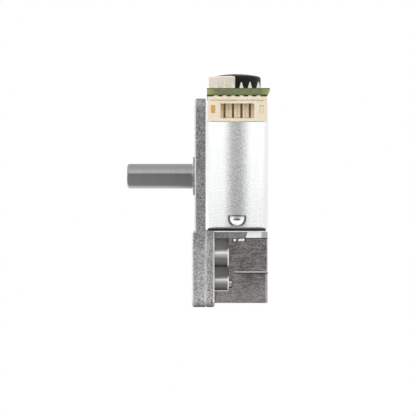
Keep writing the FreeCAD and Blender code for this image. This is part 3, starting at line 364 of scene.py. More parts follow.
def zinc(name, node_name, milled, edge_width, edge_highlight_tone):
    """Cast zinc for a CAD node, calmer on the faces square to the shaft and rubbed brighter on corners, with
    painted highlights there. Unmilled, its tapped holes are painted dark as shade.
    """
    tree = new_material(name, [node_name], Metallic=0.75).node_tree
    skin = skin_of(tree, CAST_GRAINS, CAST_PATCHES)
    place = place_of(tree)
    worn_low = fade(tree, place["Z"], *WORN_HEIGHTS)
    look = {"colour": tone(tree, worn_low, cast_tone(tree, skin), worn_tone(tree, skin, place)),
            "calm": (136, 137, 137),
            "roughness": spread(tree, skin["Grain"], *CAST_ROUGH),
            "edge": edge_of(tree, edge_width)}
    if milled:
        mill_block(tree, skin, place, look)
    across = work(tree, "ABSOLUTE", parts_of(tree, facing_of(tree))["X"])
    calm = spread(tree, across, 0.0, CALM_SHARE, *CALM_FACING)
    edge = both(tree, look["edge"], spread(tree, skin["Grain"], *GRAIN_EDGE_RANGE))
    # the corners' bright tone: rubbing with painted highlights
    colour = tone(tree, edge, tone(tree, calm, look["colour"], look["calm"]), edge_highlight_tone)
    if not milled:
        # painted shade in the tapped holes
        colour = tone(tree, hole_mask(tree, place), colour, (52, 52, 52))
    dress(tree, colour, look["roughness"], skin["Grain"], CAST_RELIEF)


zinc("cast_zinc", "front_casting", milled=False, edge_width=0.3 * MM, edge_highlight_tone=(228, 228, 227))
zinc("milled_zinc", "rear_casting", milled=True, edge_width=0.2 * MM, edge_highlight_tone=(204, 204, 203))
zinc("cap_zinc", "lower_cap", milled=True, edge_width=0.06 * MM, edge_highlight_tone=(180, 179, 178))


# Seam of the lower cap and filed edges of the block: black sealant squeezed out of the seam under a filed
# lip, and filed rims on the bosses, the flange and the top plate, the lip and rims painted pale as
# highlights, and
# what is left of the casting die: its parting line under the top plate, and the gate, broken off and filed,
# its bright face partly a painted reflection.
SEAM_RADIUS = 0.11 * MM
LIP_RADIUS = 0.12 * MM
PARTING_RADIUS = 0.06 * MM
RIM_RADIUS = 0.17 * MM
TOP_RIM = 0.12 * MM
BEAD_INSET = 0.16 * MM
BEAD_RADIUS = 0.13 * MM
BOSS_Y = 10.1 * MM
UPPER_BOSS = (-19.6 * MM, 2.08 * MM)
LOWER_BOSS = (-25.7 * MM, 1.65 * MM)
COLLAR_SIDES = 40
BEAD_SIDES = 10
FINE_SIDES = 8
TOP_PLATE = 1.75 * MM
GATE_START = 12.1 * MM
GATE_SLANT = 0.5 * MM
GATE_END = 17.2 * MM
GATE_FADE = 16.1 * MM
GATE_MARGIN = 0.15 * MM
GATE_RISE = 0.34 * MM
GATE_LEAST = 0.03 * MM
MOULD_GRAINS = 2600.0
MOULD_PATCHES = 260.0
GATE_PATCHES = 500.0
GATE_ROUGH = (0.46, 0.3)
SHARP_ANGLE = math.radians(38)
SIDEWAYS = Vector((1, 0, 0))
DEEP = Vector((0, 1, 0))
UP = Vector((0, 0, 1))
scene = bpy.context.scene


def ring_loft(form, rings):
    """Joins rings with the same number of points into one closed skin."""
    loops = [[form.verts.new(point) for point in ring] for ring in rings]
    for lower, upper in zip(loops, loops[1:]):
        for near in range(len(lower)):
            far = (near + 1) % len(lower)
            form.faces.new((lower[near], lower[far], upper[far], upper[near]))
    form.faces.new(list(reversed(loops[0])))
    form.faces.new(loops[-1])


def run_along(form, path, flat, section):
    """Draws a section along a path with mitred corners. The section's steps go across and along flat."""
    points = [Vector(point) for point in path]
    ways = [(after - before).normalized() for before, after in zip(points, points[1:])]
    rings = []
    for index, point in enumerate(points):
        way_in = ways[max(index - 1, 0)]
        way_out = ways[min(index, len(ways) - 1)]
        along = (way_in + way_out).normalized()
        across = along.cross(flat) / along.dot(way_in)
        rings.append([point + across * step + flat * rise for step, rise in section])
    ring_loft(form, rings)


def circle(radius, count):
    """The points of a round section."""
    angles = [2 * math.pi * place / count for place in range(count)]
    return [(radius * math.cos(angle), radius * math.sin(angle)) for angle in angles]


def block_bead(form, start, level, radius, sides):
    """A round bead along the block's three free sides at a level, from its front left corner."""
    path = [(start, cap_low.y, level), (cap_high.x, cap_low.y, level),
            (cap_high.x, cap_high.y, level), (start, cap_high.y, level)]
    run_along(form, path, UP, circle(radius, sides))


def new_object(name, form, material):
    """An object in the scene with a form's mesh in a material."""
    mesh = bpy.data.meshes.new(name)
    form.to_mesh(mesh)
    form.free()
    mesh.materials.append(material)
    made = bpy.data.objects.new(name, mesh)
    scene.collection.objects.link(made)
    return made


def piece(name, form, material, slot_name, *replaced):
    """A mesh piece that rides on the housing in its material, and may stand for CAD nodes."""
    bmesh.ops.recalc_face_normals(form, faces=form.faces)
    made = new_object(name, form, material)
    made.data.shade_smooth()
    made.data.set_sharp_from_angle(angle=SHARP_ANGLE)
    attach(made, "housing")
    if replaced:
        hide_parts(*replaced)
    return made


def moulded(name, dark, light, rough=(0.5, 0.4), relief=0.004 * MM, nodes=(), **constants):
    """Even stock: a faint sparkle of fine grain over soft patches from a dark to a light tone."""
    material = new_material(name, nodes, **constants)
    tree = material.node_tree
    skin = skin_of(tree, MOULD_GRAINS, MOULD_PATCHES)
    colour = tone(tree, skin["Patch"], dark, light)
    dress(tree, colour, spread(tree, skin["Grain"], *rough), skin["Grain"], relief)
    return material


black_sealant = moulded("black_sealant", (34, 32, 32), (52, 49, 48), rough=(0.6, 0.42), relief=0.01 * MM)
sealant_form = bmesh.new()
block_bead(sealant_form, cap_low.x, cap_high.z - SEAM_RADIUS, SEAM_RADIUS, BEAD_SIDES)
piece("cap_sealant", sealant_form, black_sealant, "gasket_fibre")

# filed zinc, painted pale as a highlight along the lip
filed_highlight_zinc = moulded("filed_highlight_zinc", (196, 195, 194), (232, 231, 230),
                     rough=(0.5, 0.34), relief=0.006 * MM, Metallic=0.5)
lip_form = bmesh.new()
block_bead(lip_form, cap_low.x, cap_high.z + LIP_RADIUS, LIP_RADIUS, BEAD_SIDES)
piece("filed_lip", lip_form, filed_highlight_zinc, "zinc_casting")

# filed zinc, painted pale as highlights on the rims
rim_highlight_zinc = moulded("rim_highlight_zinc", (218, 217, 216), (244, 243, 242),
                   rough=(0.5, 0.34), relief=0.006 * MM, Metallic=0.3)
rear_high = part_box("rear_casting")[1]
plate_under = rear_high.z - TOP_PLATE
collar_x = block_start - RIM_RADIUS
rim_form = bmesh.new()
for boss_y, (boss_z, boss_radius) in ((-BOSS_Y, UPPER_BOSS), (-BOSS_Y, LOWER_BOSS), (BOSS_Y, LOWER_BOSS)):
    collar = [Vector((collar_x, boss_y + y, boss_z + z)) for y, z in circle(boss_radius, COLLAR_SIDES)]
    for start, stop in zip(collar, collar[1:] + collar[:1]):
        run_along(rim_form, [start, stop], SIDEWAYS, circle(RIM_RADIUS, FINE_SIDES))
for block_side, flange_side, inward in ((cap_low.y, plate_low.y, 1), (cap_high.y, plate_high.y, -1)):
    foot_path = [(flange_end, block_side, BOSS_LOW), (collar_x, block_side, BOSS_LOW)]
    run_along(rim_form, foot_path, UP, circle(RIM_RADIUS, BEAD_SIDES))
    bead = (flange_end - BEAD_INSET, flange_side + inward * BEAD_INSET)
    bead_path = [(*bead, cap_low.z + BEAD_INSET), (*bead, plate_under)]
    run_along(rim_form, bead_path, DEEP, circle(BEAD_RADIUS, BEAD_SIDES))
block_bead(rim_form, flange_end, rear_high.z - TOP_RIM, TOP_RIM, FINE_SIDES)
piece("filed_rims", rim_form, rim_highlight_zinc, "zinc_casting")

dark_line = moulded("dark_line", (60, 57, 57), (84, 80, 80),
                    rough=(0.66, 0.5), relief=0.006 * MM, Metallic=0.5)
parting_form = bmesh.new()
block_bead(parting_form, flange_end, plate_under, PARTING_RADIUS, FINE_SIDES)
piece("parting_line", parting_form, dark_line, "zinc_casting")

gate_form = bmesh.new()
gate_low = plate_under + GATE_MARGIN
gate_high = rear_high.z - GATE_MARGIN
gate_outline = [(GATE_START, gate_low, GATE_RISE), (GATE_END, gate_low, GATE_RISE),
                (GATE_END, gate_high, GATE_LEAST), (GATE_START + GATE_SLANT, gate_high, GATE_LEAST)]
ring_loft(gate_form, [[(x, cap_low.y, z) for x, z, rise in gate_outline],
                      [(x, cap_low.y - rise, z) for x, z, rise in gate_outline]])
# the gate's face is painted bright as a reflection, darker at its far end
gate_reflection_zinc = new_material("gate_reflection_zinc", Metallic=0.55)
gate_tree = gate_reflection_zinc.node_tree
gate_skin = skin_of(gate_tree, MOULD_GRAINS, GATE_PATCHES)
reflection_tone = tone(gate_tree, gate_skin["Patch"], (206, 206, 204), (232, 232, 230))
reflection_fade = grow(gate_tree, place_of(gate_tree)["X"], GATE_FADE - 2 * SEAM_ZONE, GATE_FADE)
dress(gate_tree, tone(gate_tree, reflection_fade, reflection_tone, (160, 160, 158)),
      spread(gate_tree, gate_skin["Grain"], *GATE_ROUGH), gate_skin["Grain"], relief=0.01 * MM)
piece("gate_land", gate_form, gate_reflection_zinc, "zinc_casting")


# Gears, axles, guard plate and bushes: the train from the motor pinion to the output gear.
# Gears are cut from steel and oiled, axles are ground, and the guard is stamped sheet.
# The bushes are pressed from bronze powder, whose pores show as dark specks.
METAL_EDGE_WIDTH = 0.08 * MM
SPECK_PATCHES = 300.0


def lined_metal(name, dark, light, across, rough, relief, nodes=(), metallic=1.0):
    """Metal with tool lines that run crosswise to the axes with a high count, and rubbed edges painted bright
    as highlights.
    """
    material = new_material(name, nodes, Metallic=metallic)
    tree = material.node_tree
    line = lines_of(tree, across)
    colour = tone(tree, edge_of(tree, METAL_EDGE_WIDTH), tone(tree, line, dark, light), light)
    dress(tree, colour, spread(tree, line, *rough), line, relief)
    return material


def specked_metal(name, dark, light, grains, rough, relief, nodes, metallic=1.0):
    """Metal or stone-like stock with a fine speck all over, for CAD nodes."""
    tree = new_material(name, nodes, Metallic=metallic).node_tree
    skin = skin_of(tree, grains, SPECK_PATCHES)
    shade = tone(tree, skin["Patch"], light, tone(tree, skin["Grain"], dark, light))
    dress(tree, shade, spread(tree, skin["Grain"], *rough), skin["Grain"], relief)


lined_metal("gear_steel", (120, 120, 122), (176, 176, 178),
            across=(9000.0, 300.0, 300.0), rough=(0.42, 0.28), relief=0.004 * MM,
            nodes=["output_gear", "idler_gear", "intermediate_pinion", "intermediate_wheel",
                   "crown_gear", "crown_pinion"])
lined_metal("axle_steel", (150, 150, 152), (198, 198, 200),
            across=(200.0, 6000.0, 6000.0), rough=(0.34, 0.22), relief=0.003 * MM,
            nodes=["idler_axle", "intermediate_axle", "crown_shaft"])
lined_metal("sheet_steel", (142, 143, 145), (190, 191, 192),
            across=(500.0, 500.0, 5200.0), rough=(0.44, 0.3), relief=0.004 * MM,
            nodes=["guard_plate", "crown_bearing_plate", "magnet_spring", "rotor_washers"])
specked_metal("sintered_bronze", (92, 66, 40), (176, 134, 84),
              grains=5200.0, rough=(0.62, 0.4), relief=0.01 * MM,
              nodes=["crown_front_bush", "crown_middle_bush", "crown_rear_bush",
                     "motor_front_bush", "motor_rear_bush"])


# Grease in the pinion's window: white lithium grease, pushed out through the slot under the top plate
# by the turning teeth, so it stands in short lumps with gaps between them.
GREASE_RADIUS = 0.35 * MM
GREASE_SINK = 0.1 * MM
GREASE_LUMPS = 5
GREASE_STEPS = 4 * GREASE_LUMPS
GREASE_SIDES = 14
GREASE_BLUNT = 0.06
GREASE_SWELL = 0.16
GREASE_WANDER = 0.06 * MM
GREASE_RUNS = ((9.15 * MM, 9.85 * MM), (10.3 * MM, 11.05 * MM), (10.95 * MM, 11.85 * MM))
WINDOW_HEIGHT = 0.8 * MM
grease_form = bmesh.new()
grease_z = plate_under - WINDOW_HEIGHT / 2
for start, stop in GREASE_RUNS:
    rings = []
    for step in range(GREASE_STEPS + 1):
        share = step / GREASE_STEPS
        belly = math.sqrt(math.sin(math.pi * (GREASE_BLUNT + (1 - 2 * GREASE_BLUNT) * share)))
        lump = 1 + GREASE_SWELL * math.sin(math.pi * GREASE_LUMPS * share + start / MM)
        wander = GREASE_WANDER * math.sin(GREASE_LUMPS * share + start / MM)
        centre = Vector((start + (stop - start) * share, cap_low.y + GREASE_SINK, grease_z + wander))
        section = circle(GREASE_RADIUS * belly * lump, GREASE_SIDES)
        rings.append([centre + Vector((0, across, rise)) for across, rise in section])
    ring_loft(grease_form, rings)
white_grease = moulded("white_grease", (238, 238, 234), (250, 250, 247),
                       rough=(0.4, 0.22), relief=0.008 * MM, Coat_Weight=0.3, Coat_Roughness=0.15)
piece("pinion_grease", grease_form, white_grease, "cream_nylon")


# Output shaft and its bush: a 6 mm steel shaft, turned and ground, with a flat milled down one side.
# Grinding leaves fine rings around the shaft. The bush is turned brass, pressed into the boss, and the
# motor's pinion and the encoder's hub are of the same brass.
lined_metal("shaft_steel", (134, 134, 134), (146, 146, 146),
            across=(16000.0, 160.0, 160.0), rough=(0.36, 0.3), relief=0.0006 * MM, nodes=["output_shaft"])
lined_metal("turned_brass", (184, 150, 88), (198, 164, 97),
            across=(5200.0, 4200.0, 4200.0), rough=(0.36, 0.24), relief=0.002 * MM,
            nodes=["output_bush", "motor_pinion", "encoder_hub"])


# Screws: zinc-plated steel screws that hold the castings, the cap and the motor together.
# The heads of the case screws lie flush in the plate, and the floors of their slots are painted dark as
# shade.
SLOT_DEPTH = 0.3 * MM
SLOT_REACH = 1.0 * MM
SCREW_ROUGH = (0.42, 0.28)
head_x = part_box("case_screws")[0].x
screw_names = ["case_screws", "cap_screws", "motor_screws"]
screw_tree = new_material("screw_steel", screw_names, Metallic=0.9).node_tree
screw_line = lines_of(screw_tree, counts=(300.0, 300.0, 5200.0))
plated = tone(screw_tree, screw_line, (164, 162, 158), (186, 184, 180))
screw_x = place_of(screw_tree)["X"]
sunk = grow(screw_tree, screw_x, head_x + SLOT_DEPTH / 2, head_x + SLOT_DEPTH)
near_head = fade(screw_tree, screw_x, head_x + SLOT_REACH, head_x + 2 * SLOT_REACH)
# the slot floors are painted dark as shade
slotted = tone(screw_tree, both(screw_tree, sunk, near_head), plated, (46, 45, 44))
dress(screw_tree, slotted, spread(screw_tree, screw_line, *SCREW_ROUGH), screw_line, relief=0.003 * MM)


# Motor can: deep-drawn steel, nickel-plated to a satin shine, with two flats and two round sides.
# The plating is worn to a fine grain down the middle of each round side. A lanced dimple on each round
# side holds the magnets. Its rim, its sheared lip and the lower part of its bowl are painted dark as shade,
# and a dark mark in the bowl is a painted reflection.
CAN_FRONT = 1.2 * MM
ROUND_HALF = 7.3 * MM
ROUND_BLUR = 0.1 * MM
ROUND_MATCH = (0.92, 0.96)
CAN_ROUGH = (0.19, 0.24)
WORN_BAND = (0.7 * MM, 3.4 * MM)
DRAWN_SHARE = 0.3
DIMPLE_HALF = 1.95 * MM
DIMPLE_RISE = 2.87 * MM
DIMPLE_SQUARE = 2.5
DIMPLE_INSIDE = (0.95, 1.05)
DIMPLE_OUTSIDE = (1.1, 1.15)
RIM_REACH = 0.99
RIM_BLUR = (0.08, 0.2)
RIM_SIDES = (0.25, 0.7)
RIM_LEAST = 0.45
LIP_HEIGHT = 0.215
LIP_DROP = 0.02
LIP_BLUR = (0.04, 0.1)
LIP_END = 0.06
LIP_SIDES = (0.5, 0.85)
LIP_LEAST = 0.4
BOWL_HEIGHTS = (-0.9, -0.2)
BOWL_SHARES = (0.32, 0.04)
EYE_HALVES = (0.5, 0.15)
EYE_DROP = 0.27
EYE_BLUR = (0.5, 1.4)
DIMPLE_SHADE_SHARE = 0.85
can_low, can_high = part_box("motor_can")
dimple_x = (can_low.x + can_high.x) / 2
dimple_z = can_low.z + CAN_FRONT + DIMPLE_RISE


def dimple_masks(tree, place):
    """The masks of the dimple's painted shade and reflection, and of its hollow. Heights and reaches are in
    its half width.
    """
    aside = work(tree, "DIVIDE", apart(tree, place["X"], dimple_x), DIMPLE_HALF)
    above = work(tree, "DIVIDE", work(tree, "SUBTRACT", place["Z"], dimple_z), DIMPLE_HALF)
    reach = reach_of(tree, aside, work(tree, "ABSOLUTE", above), DIMPLE_SQUARE)
    inside = fade(tree, reach, *DIMPLE_INSIDE)
    under_lip = fade(tree, above, LIP_HEIGHT, LIP_HEIGHT + LIP_END)
    at_rim = fade(tree, apart(tree, reach, RIM_REACH), *RIM_BLUR)
    at_lip = fade(tree, apart(tree, above, LIP_HEIGHT - LIP_DROP), *LIP_BLUR)
    rim = both(tree, at_rim, spread(tree, aside, RIM_LEAST, 1.0, *RIM_SIDES), under_lip)
    lip = both(tree, at_lip, spread(tree, aside, 1.0, LIP_LEAST, *LIP_SIDES), inside)
    bowl = both(tree, inside, spread(tree, above, *BOWL_SHARES, *BOWL_HEIGHTS), under_lip)
    mark_aside = work(tree, "DIVIDE", aside, EYE_HALVES[0])
    mark_above = work(tree, "DIVIDE", work(tree, "ADD", above, EYE_DROP), EYE_HALVES[1])
    mark_reach = work(tree, "ADD", both(tree, mark_aside, mark_aside), both(tree, mark_above, mark_above))
    painted_dark = fade(tree, mark_reach, *EYE_BLUR)
    for mask in (rim, lip, bowl):
        painted_dark = work(tree, "MAXIMUM", painted_dark, mask)
    hollow = both(tree, fade(tree, reach, *DIMPLE_OUTSIDE), under_lip)
    return painted_dark, hollow


def drawn_normal(tree, place, off_middle, hollow):
    """The surface's normal, which follows a true round on the round sides outside the dimple."""
    outward = {"X": work(tree, "SUBTRACT", place["X"], dimple_x), "Y": place["Y"]}
    true_round = vector_work(tree, "NORMALIZE", put(tree, "CombineXYZ", outward).outputs["Vector"])
    facing = facing_of(tree)
    agreement = grow(tree, vector_work(tree, "DOT_PRODUCT", facing, true_round), *ROUND_MATCH)
    on_round = fade(tree, off_middle, ROUND_HALF - ROUND_BLUR, ROUND_HALF)
    drawn_wall = both(tree, on_round, agreement, fade(tree, hollow, 0.0, 1.0))
    return put(tree, "Mix", {0: drawn_wall, 4: facing, 5: true_round}, data_type="VECTOR").outputs[1]


can_tree = new_material("can_plating", ["motor_can"], Metallic=1.0).node_tree
can_place = place_of(can_tree)
can_skin = skin_of(can_tree, grains=2900.0, patches=140.0)
can_line = lines_of(can_tree, counts=(2600.0, 2600.0, 60.0))
off_middle = apart(can_tree, can_place["X"], dimple_x)
worn_grain = tone(can_tree, can_skin["Grain"], (194, 196, 195), (255, 255, 255))
off_core = grow(can_tree, off_middle, *WORN_BAND)
can_colour = tone(can_tree, off_core, worn_grain, (248, 250, 249))
can_colour = tone(can_tree, both(can_tree, can_line, DRAWN_SHARE), can_colour, (234, 236, 236))
dimple_shade, dimple_hollow = dimple_masks(can_tree, can_place)
# the dimple's painted shade and dark reflection
can_colour = tone(can_tree, both(can_tree, dimple_shade, DIMPLE_SHADE_SHARE), can_colour, (58, 60, 60))
dress(can_tree, can_colour, spread(can_tree, can_skin["Patch"], *CAN_ROUGH),
      work(can_tree, "ADD", can_skin["Grain"], can_line), relief=0.005 * MM,
      normal=drawn_normal(can_tree, can_place, off_middle, dimple_hollow))
moulded("black_fibre", (26, 26, 26), (40, 40, 40),
        rough=(0.7, 0.55), relief=0.008 * MM, nodes=["motor_gasket"])


# Motor inside: ferrite magnets, a stacked steel armature with enamelled windings, and carbon brushes
# on copper arms. The end cap is moulded black plastic and closes the can.
specked_metal("ferrite", (38, 38, 40), (70, 70, 74), grains=2600.0, rough=(0.7, 0.5),
              relief=0.01 * MM, metallic=0.1, nodes=["field_magnets"])
lined_metal("core_steel", (84, 85, 88), (138, 139, 142),
            across=(60.0, 60.0, 4200.0), rough=(0.55, 0.36), relief=0.012 * MM,
            nodes=["armature_core", "motor_shaft"])
lined_metal("copper", (148, 74, 34), (206, 122, 66),
            across=(300.0, 300.0, 5200.0), rough=(0.38, 0.24), relief=0.014 * MM,
            nodes=["windings", "commutator", "brush_arms"])
specked_metal("carbon", (22, 22, 23), (52, 52, 54), grains=3200.0, rough=(0.72, 0.52),
              relief=0.008 * MM, metallic=0.2, nodes=["brushes"])
black_plastic = moulded("black_plastic", (26, 26, 27), (38, 38, 39), rough=(0.5, 0.38),
                        relief=0.006 * MM, nodes=["motor_end_cap", "commutator_sleeve"])


# Encoder board: fibreglass 1.7 mm thick with a green solder mask on both faces. The underside over the header
# is painted near black as shade, and is dull. The sawn edge shows the brown-green layers of the weave between
# the two masks, yellower at its ends.
BOARD_SKIN = 0.14 * MM
BARE_ENDS = (5.2 * MM, 7.2 * MM)
MASK_FACING = (0.4, 0.6)
MASK_ROUGH = (0.62, 0.3)
DULL_ROUGH = 1.0
board_low, board_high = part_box("encoder_board")
header_low, header_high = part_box("connector_housing")
board_tree = new_material("board_green", ["encoder_board"], Specular_IOR_Level=0.3).node_tree
board_place = place_of(board_tree)
facing_up = parts_of(board_tree, facing_of(board_tree))["Z"]
on_mask = grow(board_tree, work(board_tree, "ABSOLUTE", facing_up), *MASK_FACING)
half_board = (board_high.z - board_low.z) / 2
from_middle = apart(board_tree, board_place["Z"], (board_low.z + board_high.z) / 2)
mask_edge = grow(board_tree, from_middle, half_board - 2 * BOARD_SKIN, half_board - BOARD_SKIN)
from_centre = apart(board_tree, board_place["X"], (board_low.x + board_high.x) / 2)
bared = grow(board_tree, from_centre, *BARE_ENDS)
fibre = lines_of(board_tree, counts=(900.0, 900.0, 5200.0))
edge_tone = tone(board_tree, fibre, (108, 106, 80), (134, 138, 98))
edge_tone = tone(board_tree, bared, edge_tone, (166, 166, 98))
edge_tone = tone(board_tree, mask_edge, edge_tone, (80, 104, 54))
facing_down = fade(board_tree, facing_up, -MASK_FACING[1], -MASK_FACING[0])
above_header = fade(board_tree, board_place["Y"], header_high.y - BOARD_SKIN, header_high.y)
shade_over_header = both(board_tree, facing_down, above_header)
weave = skin_of(board_tree, grains=1500.0, patches=220.0)
mask_tone = tone(board_tree, weave["Patch"], (46, 92, 34), (62, 110, 44))
# painted shade: the underside over the header is near black
mask_tone = tone(board_tree, shade_over_header, mask_tone, (14, 16, 8))
board_rough = spread(board_tree, shade_over_header, spread(board_tree, on_mask, *MASK_ROUGH), DULL_ROUGH)
board_tone = tone(board_tree, on_mask, edge_tone, mask_tone)
dress(board_tree, board_tone, board_rough, fibre, relief=0.006 * MM)


# Connector: a six-way header moulded in cream nylon under the board, with pins in its window painted dull
# brown as shade, and two nylon blades between each pair of pins, painted tan as shade. The motor's terminals
# and their solder are tinned.
PIN_COUNT = 6
PIN_WIDTH = 0.5 * MM
BLADE_ROOT = 0.72 * MM
BLADE_TIP = 0.7 * MM
BLADE_OFFSET = 0.385 * MM
BLADE_LENGTH = 2.2 * MM
BLADE_ROUND = 0.06 * MM
BACK_WALL = 0.6 * MM
RIB_BOTTOM = 0.9 * MM
RIB_TOP = 1.4 * MM
moulded("cream_nylon", (241, 228, 202), (247, 236, 214), rough=(0.46, 0.36),
        nodes=["connector_housing"], Subsurface_Weight=0.15, Subsurface_Scale=0.6 * MM)
tinned = lined_metal("tinned", (206, 205, 202), (236, 235, 232),
                     across=(900.0, 900.0, 300.0), rough=(0.34, 0.22), relief=0.003 * MM,
                     nodes=["terminal_solder", "motor_terminals"])
# the pins' dull brown is painted shade in the window
lined_metal("pins_painted_shade", (92, 76, 58), (128, 108, 84),
            across=(900.0, 900.0, 300.0), rough=(0.5, 0.36), relief=0.003 * MM,
            nodes=["connector_pins"], metallic=0.5)


def row_places(node_name, length, count):
    """The middles, along x, of a row of equal solids of this length that fill a node's box."""
    low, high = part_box(node_name)
    step = (high.x - low.x - length) / (count - 1)
    return [low.x + length / 2 + step * place for place in range(count)]


pin_places = row_places("connector_pins", PIN_WIDTH, PIN_COUNT)
# the blades' tan is cream nylon painted darker as shade
shaded_tan_nylon = moulded("shaded_tan_nylon", (238, 216, 180), (244, 226, 194),
                    Subsurface_Weight=0.2, Subsurface_Scale=0.5 * MM)
rib_form = bmesh.new()
rib_back = header_high.y - BACK_WALL
rib_front = rib_back - BLADE_LENGTH
for left, right in zip(pin_places, pin_places[1:]):
    for offset in (-BLADE_OFFSET, BLADE_OFFSET):
        middle = (left + right) / 2 + offset
        outline = [(middle - BLADE_ROOT / 2, rib_back), (middle + BLADE_ROOT / 2, rib_back),
                   (middle + BLADE_TIP / 2, rib_front), (middle - BLADE_TIP / 2, rib_front)]
        ring_loft(rib_form, [[(x, y, z) for x, y in outline]
                             for z in (header_low.z + RIB_BOTTOM, header_high.z - RIB_TOP)])
bmesh.ops.bevel(rib_form, geom=rib_form.edges[:], offset=BLADE_ROUND, segments=2, affect="EDGES")
contact_ribs = piece("contact_ribs", rib_form, shaded_tan_nylon, "cream_nylon")


# Slot keys: nylon stubs in the header's side slots, each with a crowned front just behind its face.
# The two are the same nylon: the left one is painted amber as light glowing through it, and the right one is
# painted pale as it is lit.
KEY_INSET = 0.85 * MM
KEY_WIDTH = 0.95 * MM
KEY_HEIGHT = 1.85 * MM
KEY_RISE = 1.9 * MM
KEY_DEPTH = 0.5 * MM
KEY_RECESS = 0.14 * MM
KEY_GAP = 0.03 * MM
KEY_ROUND = 0.1 * MM
FACE_SETBACK = 0.1 * MM


def rounded_outline(low, high, round_by, steps=3):
    """The corners of a rectangle, each as an arc of a few points."""
    left, bottom = (edge + round_by for edge in low)
    right, top = (edge - round_by for edge in high)
    points = []
    for x, y, start in ((right, top, 0), (left, top, 90), (left, bottom, 180), (right, bottom, 270)):
        for step in range(steps + 1):
            angle = math.radians(start + 90 * step / steps)
            points.append((x + round_by * math.cos(angle), y + round_by * math.sin(angle)))
    return points


def slot_key(name, left, material):
    """A key in one slot, with a crowned front a little behind the header's face."""
    front = header_low.y + FACE_SETBACK + KEY_RECESS
    bottom = header_low.z + KEY_RISE
    form = bmesh.new()
    rings = []
    for inset, y in ((KEY_GAP, front + KEY_DEPTH), (KEY_GAP, front + KEY_GAP), (3 * KEY_GAP, front)):
        outline = rounded_outline((left + inset, bottom + inset),
                                  (left + KEY_WIDTH - inset, bottom + KEY_HEIGHT - inset), KEY_ROUND)
        rings.append([(x, y, z) for x, z in outline])
    ring_loft(form, rings)
    piece(name, form, material, "cream_nylon")


# one nylon for both keys: amber where light glows through, pale where lit
amber_glow_nylon = moulded("amber_glow_nylon", (222, 168, 98), (232, 182, 112))
pale_lit_nylon = moulded("pale_lit_nylon", (240, 222, 198), (246, 230, 208))
slot_key("left_slot_key", header_low.x + KEY_INSET, amber_glow_nylon)
slot_key("right_slot_key", header_high.x - KEY_INSET - KEY_WIDTH, pale_lit_nylon)


# Solder on the pins: tin solder that wicks up each pin from a round pad on the board.
# It sets as a slightly hollow cone with a blunt point, and no two cones are quite alike.
SOLDER_RADIUS = 0.54 * MM
SOLDER_TIP = 0.13 * MM
SOLDER_HEIGHT = 1.6 * MM
SOLDER_RINGS = 9
SOLDER_SIDES = 24
SOLDER_HOLLOW = 1.15
HEIGHT_LOSS = 0.03
HEIGHT_WAVE = 2.4
TIP_LEAN = 0.03 * MM
LEAN_WAVE = 1.7
LEAN_START = 0.5
PAD_RADIUS = 0.66 * MM
PAD_RISE = 0.04 * MM
bright_solder = lined_metal("bright_solder", (190, 184, 173), (208, 202, 190),
                            across=(700.0, 700.0, 300.0), rough=(0.42, 0.3), relief=0.004 * MM, metallic=0.55)
pins_low, pins_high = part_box("connector_pins")
pin_y = (pins_low.y + pins_high.y) / 2
solder_form = bmesh.new()


def solder_ring(centre_x, radius, level):
    """A ring of the solder around a pin."""
    return [(centre_x + x, pin_y + y, level) for x, y in circle(radius, SOLDER_SIDES)]


for place, pin_x in enumerate(pin_places):
    height = SOLDER_HEIGHT * (1 - HEIGHT_LOSS * (1 + math.sin(HEIGHT_WAVE * place)))
    rings = [solder_ring(pin_x, PAD_RADIUS, board_high.z),
             solder_ring(pin_x, PAD_RADIUS - PAD_RISE, board_high.z + PAD_RISE)]
    for step in range(SOLDER_RINGS + 1):
        share = step / SOLDER_RINGS
        radius = SOLDER_TIP + (SOLDER_RADIUS - SOLDER_TIP) * (1 - share) ** SOLDER_HOLLOW
        lean = TIP_LEAN * share * math.sin(LEAN_WAVE * place + LEAN_START)
        rings.append(solder_ring(pin_x + lean, radius, board_high.z + PAD_RISE + (height - PAD_RISE) * share))
    ring_loft(solder_form, rings)
piece("solder_cones", solder_form, bright_solder, "tinned_metal", "connector_solder")


# Copper on the board: tracks under the solder mask from the header to the sensors and the motor's
# terminals, and tinned rings around the plated holes. They are etched, so they stand up very little.
TRACK_WIDTH = 0.34 * MM
TRACK_RISE = 0.035 * MM
POWER_WIDTH = 0.9 * MM
LANE_STEP = 0.62 * MM
FIRST_BEND = 1.3 * MM
LANE_SLOPE = 1.2 * MM
HALL_END = 0.5 * MM
HALL_APPROACH = 1.9 * MM
HALL_PAST = 0.7 * MM
HALL_TURN = 0.4 * MM
SIGNAL_SHIFT = 1.0 * MM
SIGNAL_SHORT = 0.8 * MM
POWER_BENDS = (2.2 * MM, 3.4 * MM)
POWER_APPROACH = 1.2 * MM
POWER_GAP = 0.2 * MM
RING_INNER = 0.2 * MM
RING_OUTER = 0.42 * MM
RING_SIDES = 20
RING_DISH = 0.4
halls_low, halls_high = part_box("hall_sensors")
chips_low, chips_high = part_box("board_chips")
terminals_low, terminals_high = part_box("motor_terminals")
left_lane = board_low.x + 0.55 * MM
right_lane = board_high.x - 1.25 * MM
left_power = board_low.x + 0.9 * MM
right_power = board_high.x - 1.7 * MM
first_bend = pins_high.y + FIRST_BEND
second_bend = first_bend + LANE_STEP
lane_start = second_bend + LANE_STEP + LANE_SLOPE
pad_edge = pin_y + PAD_RADIUS
track_form = bmesh.new()


def track(points, width, level, rise):
    """A flat track along points on a board face. A negative rise draws it on the underside."""
    half = width / 2
    section = [(-half, 0), (half, 0), (half - TRACK_RISE, rise), (TRACK_RISE - half, rise)]
    run_along(track_form, [(x, y, level) for x, y in points], UP, section)


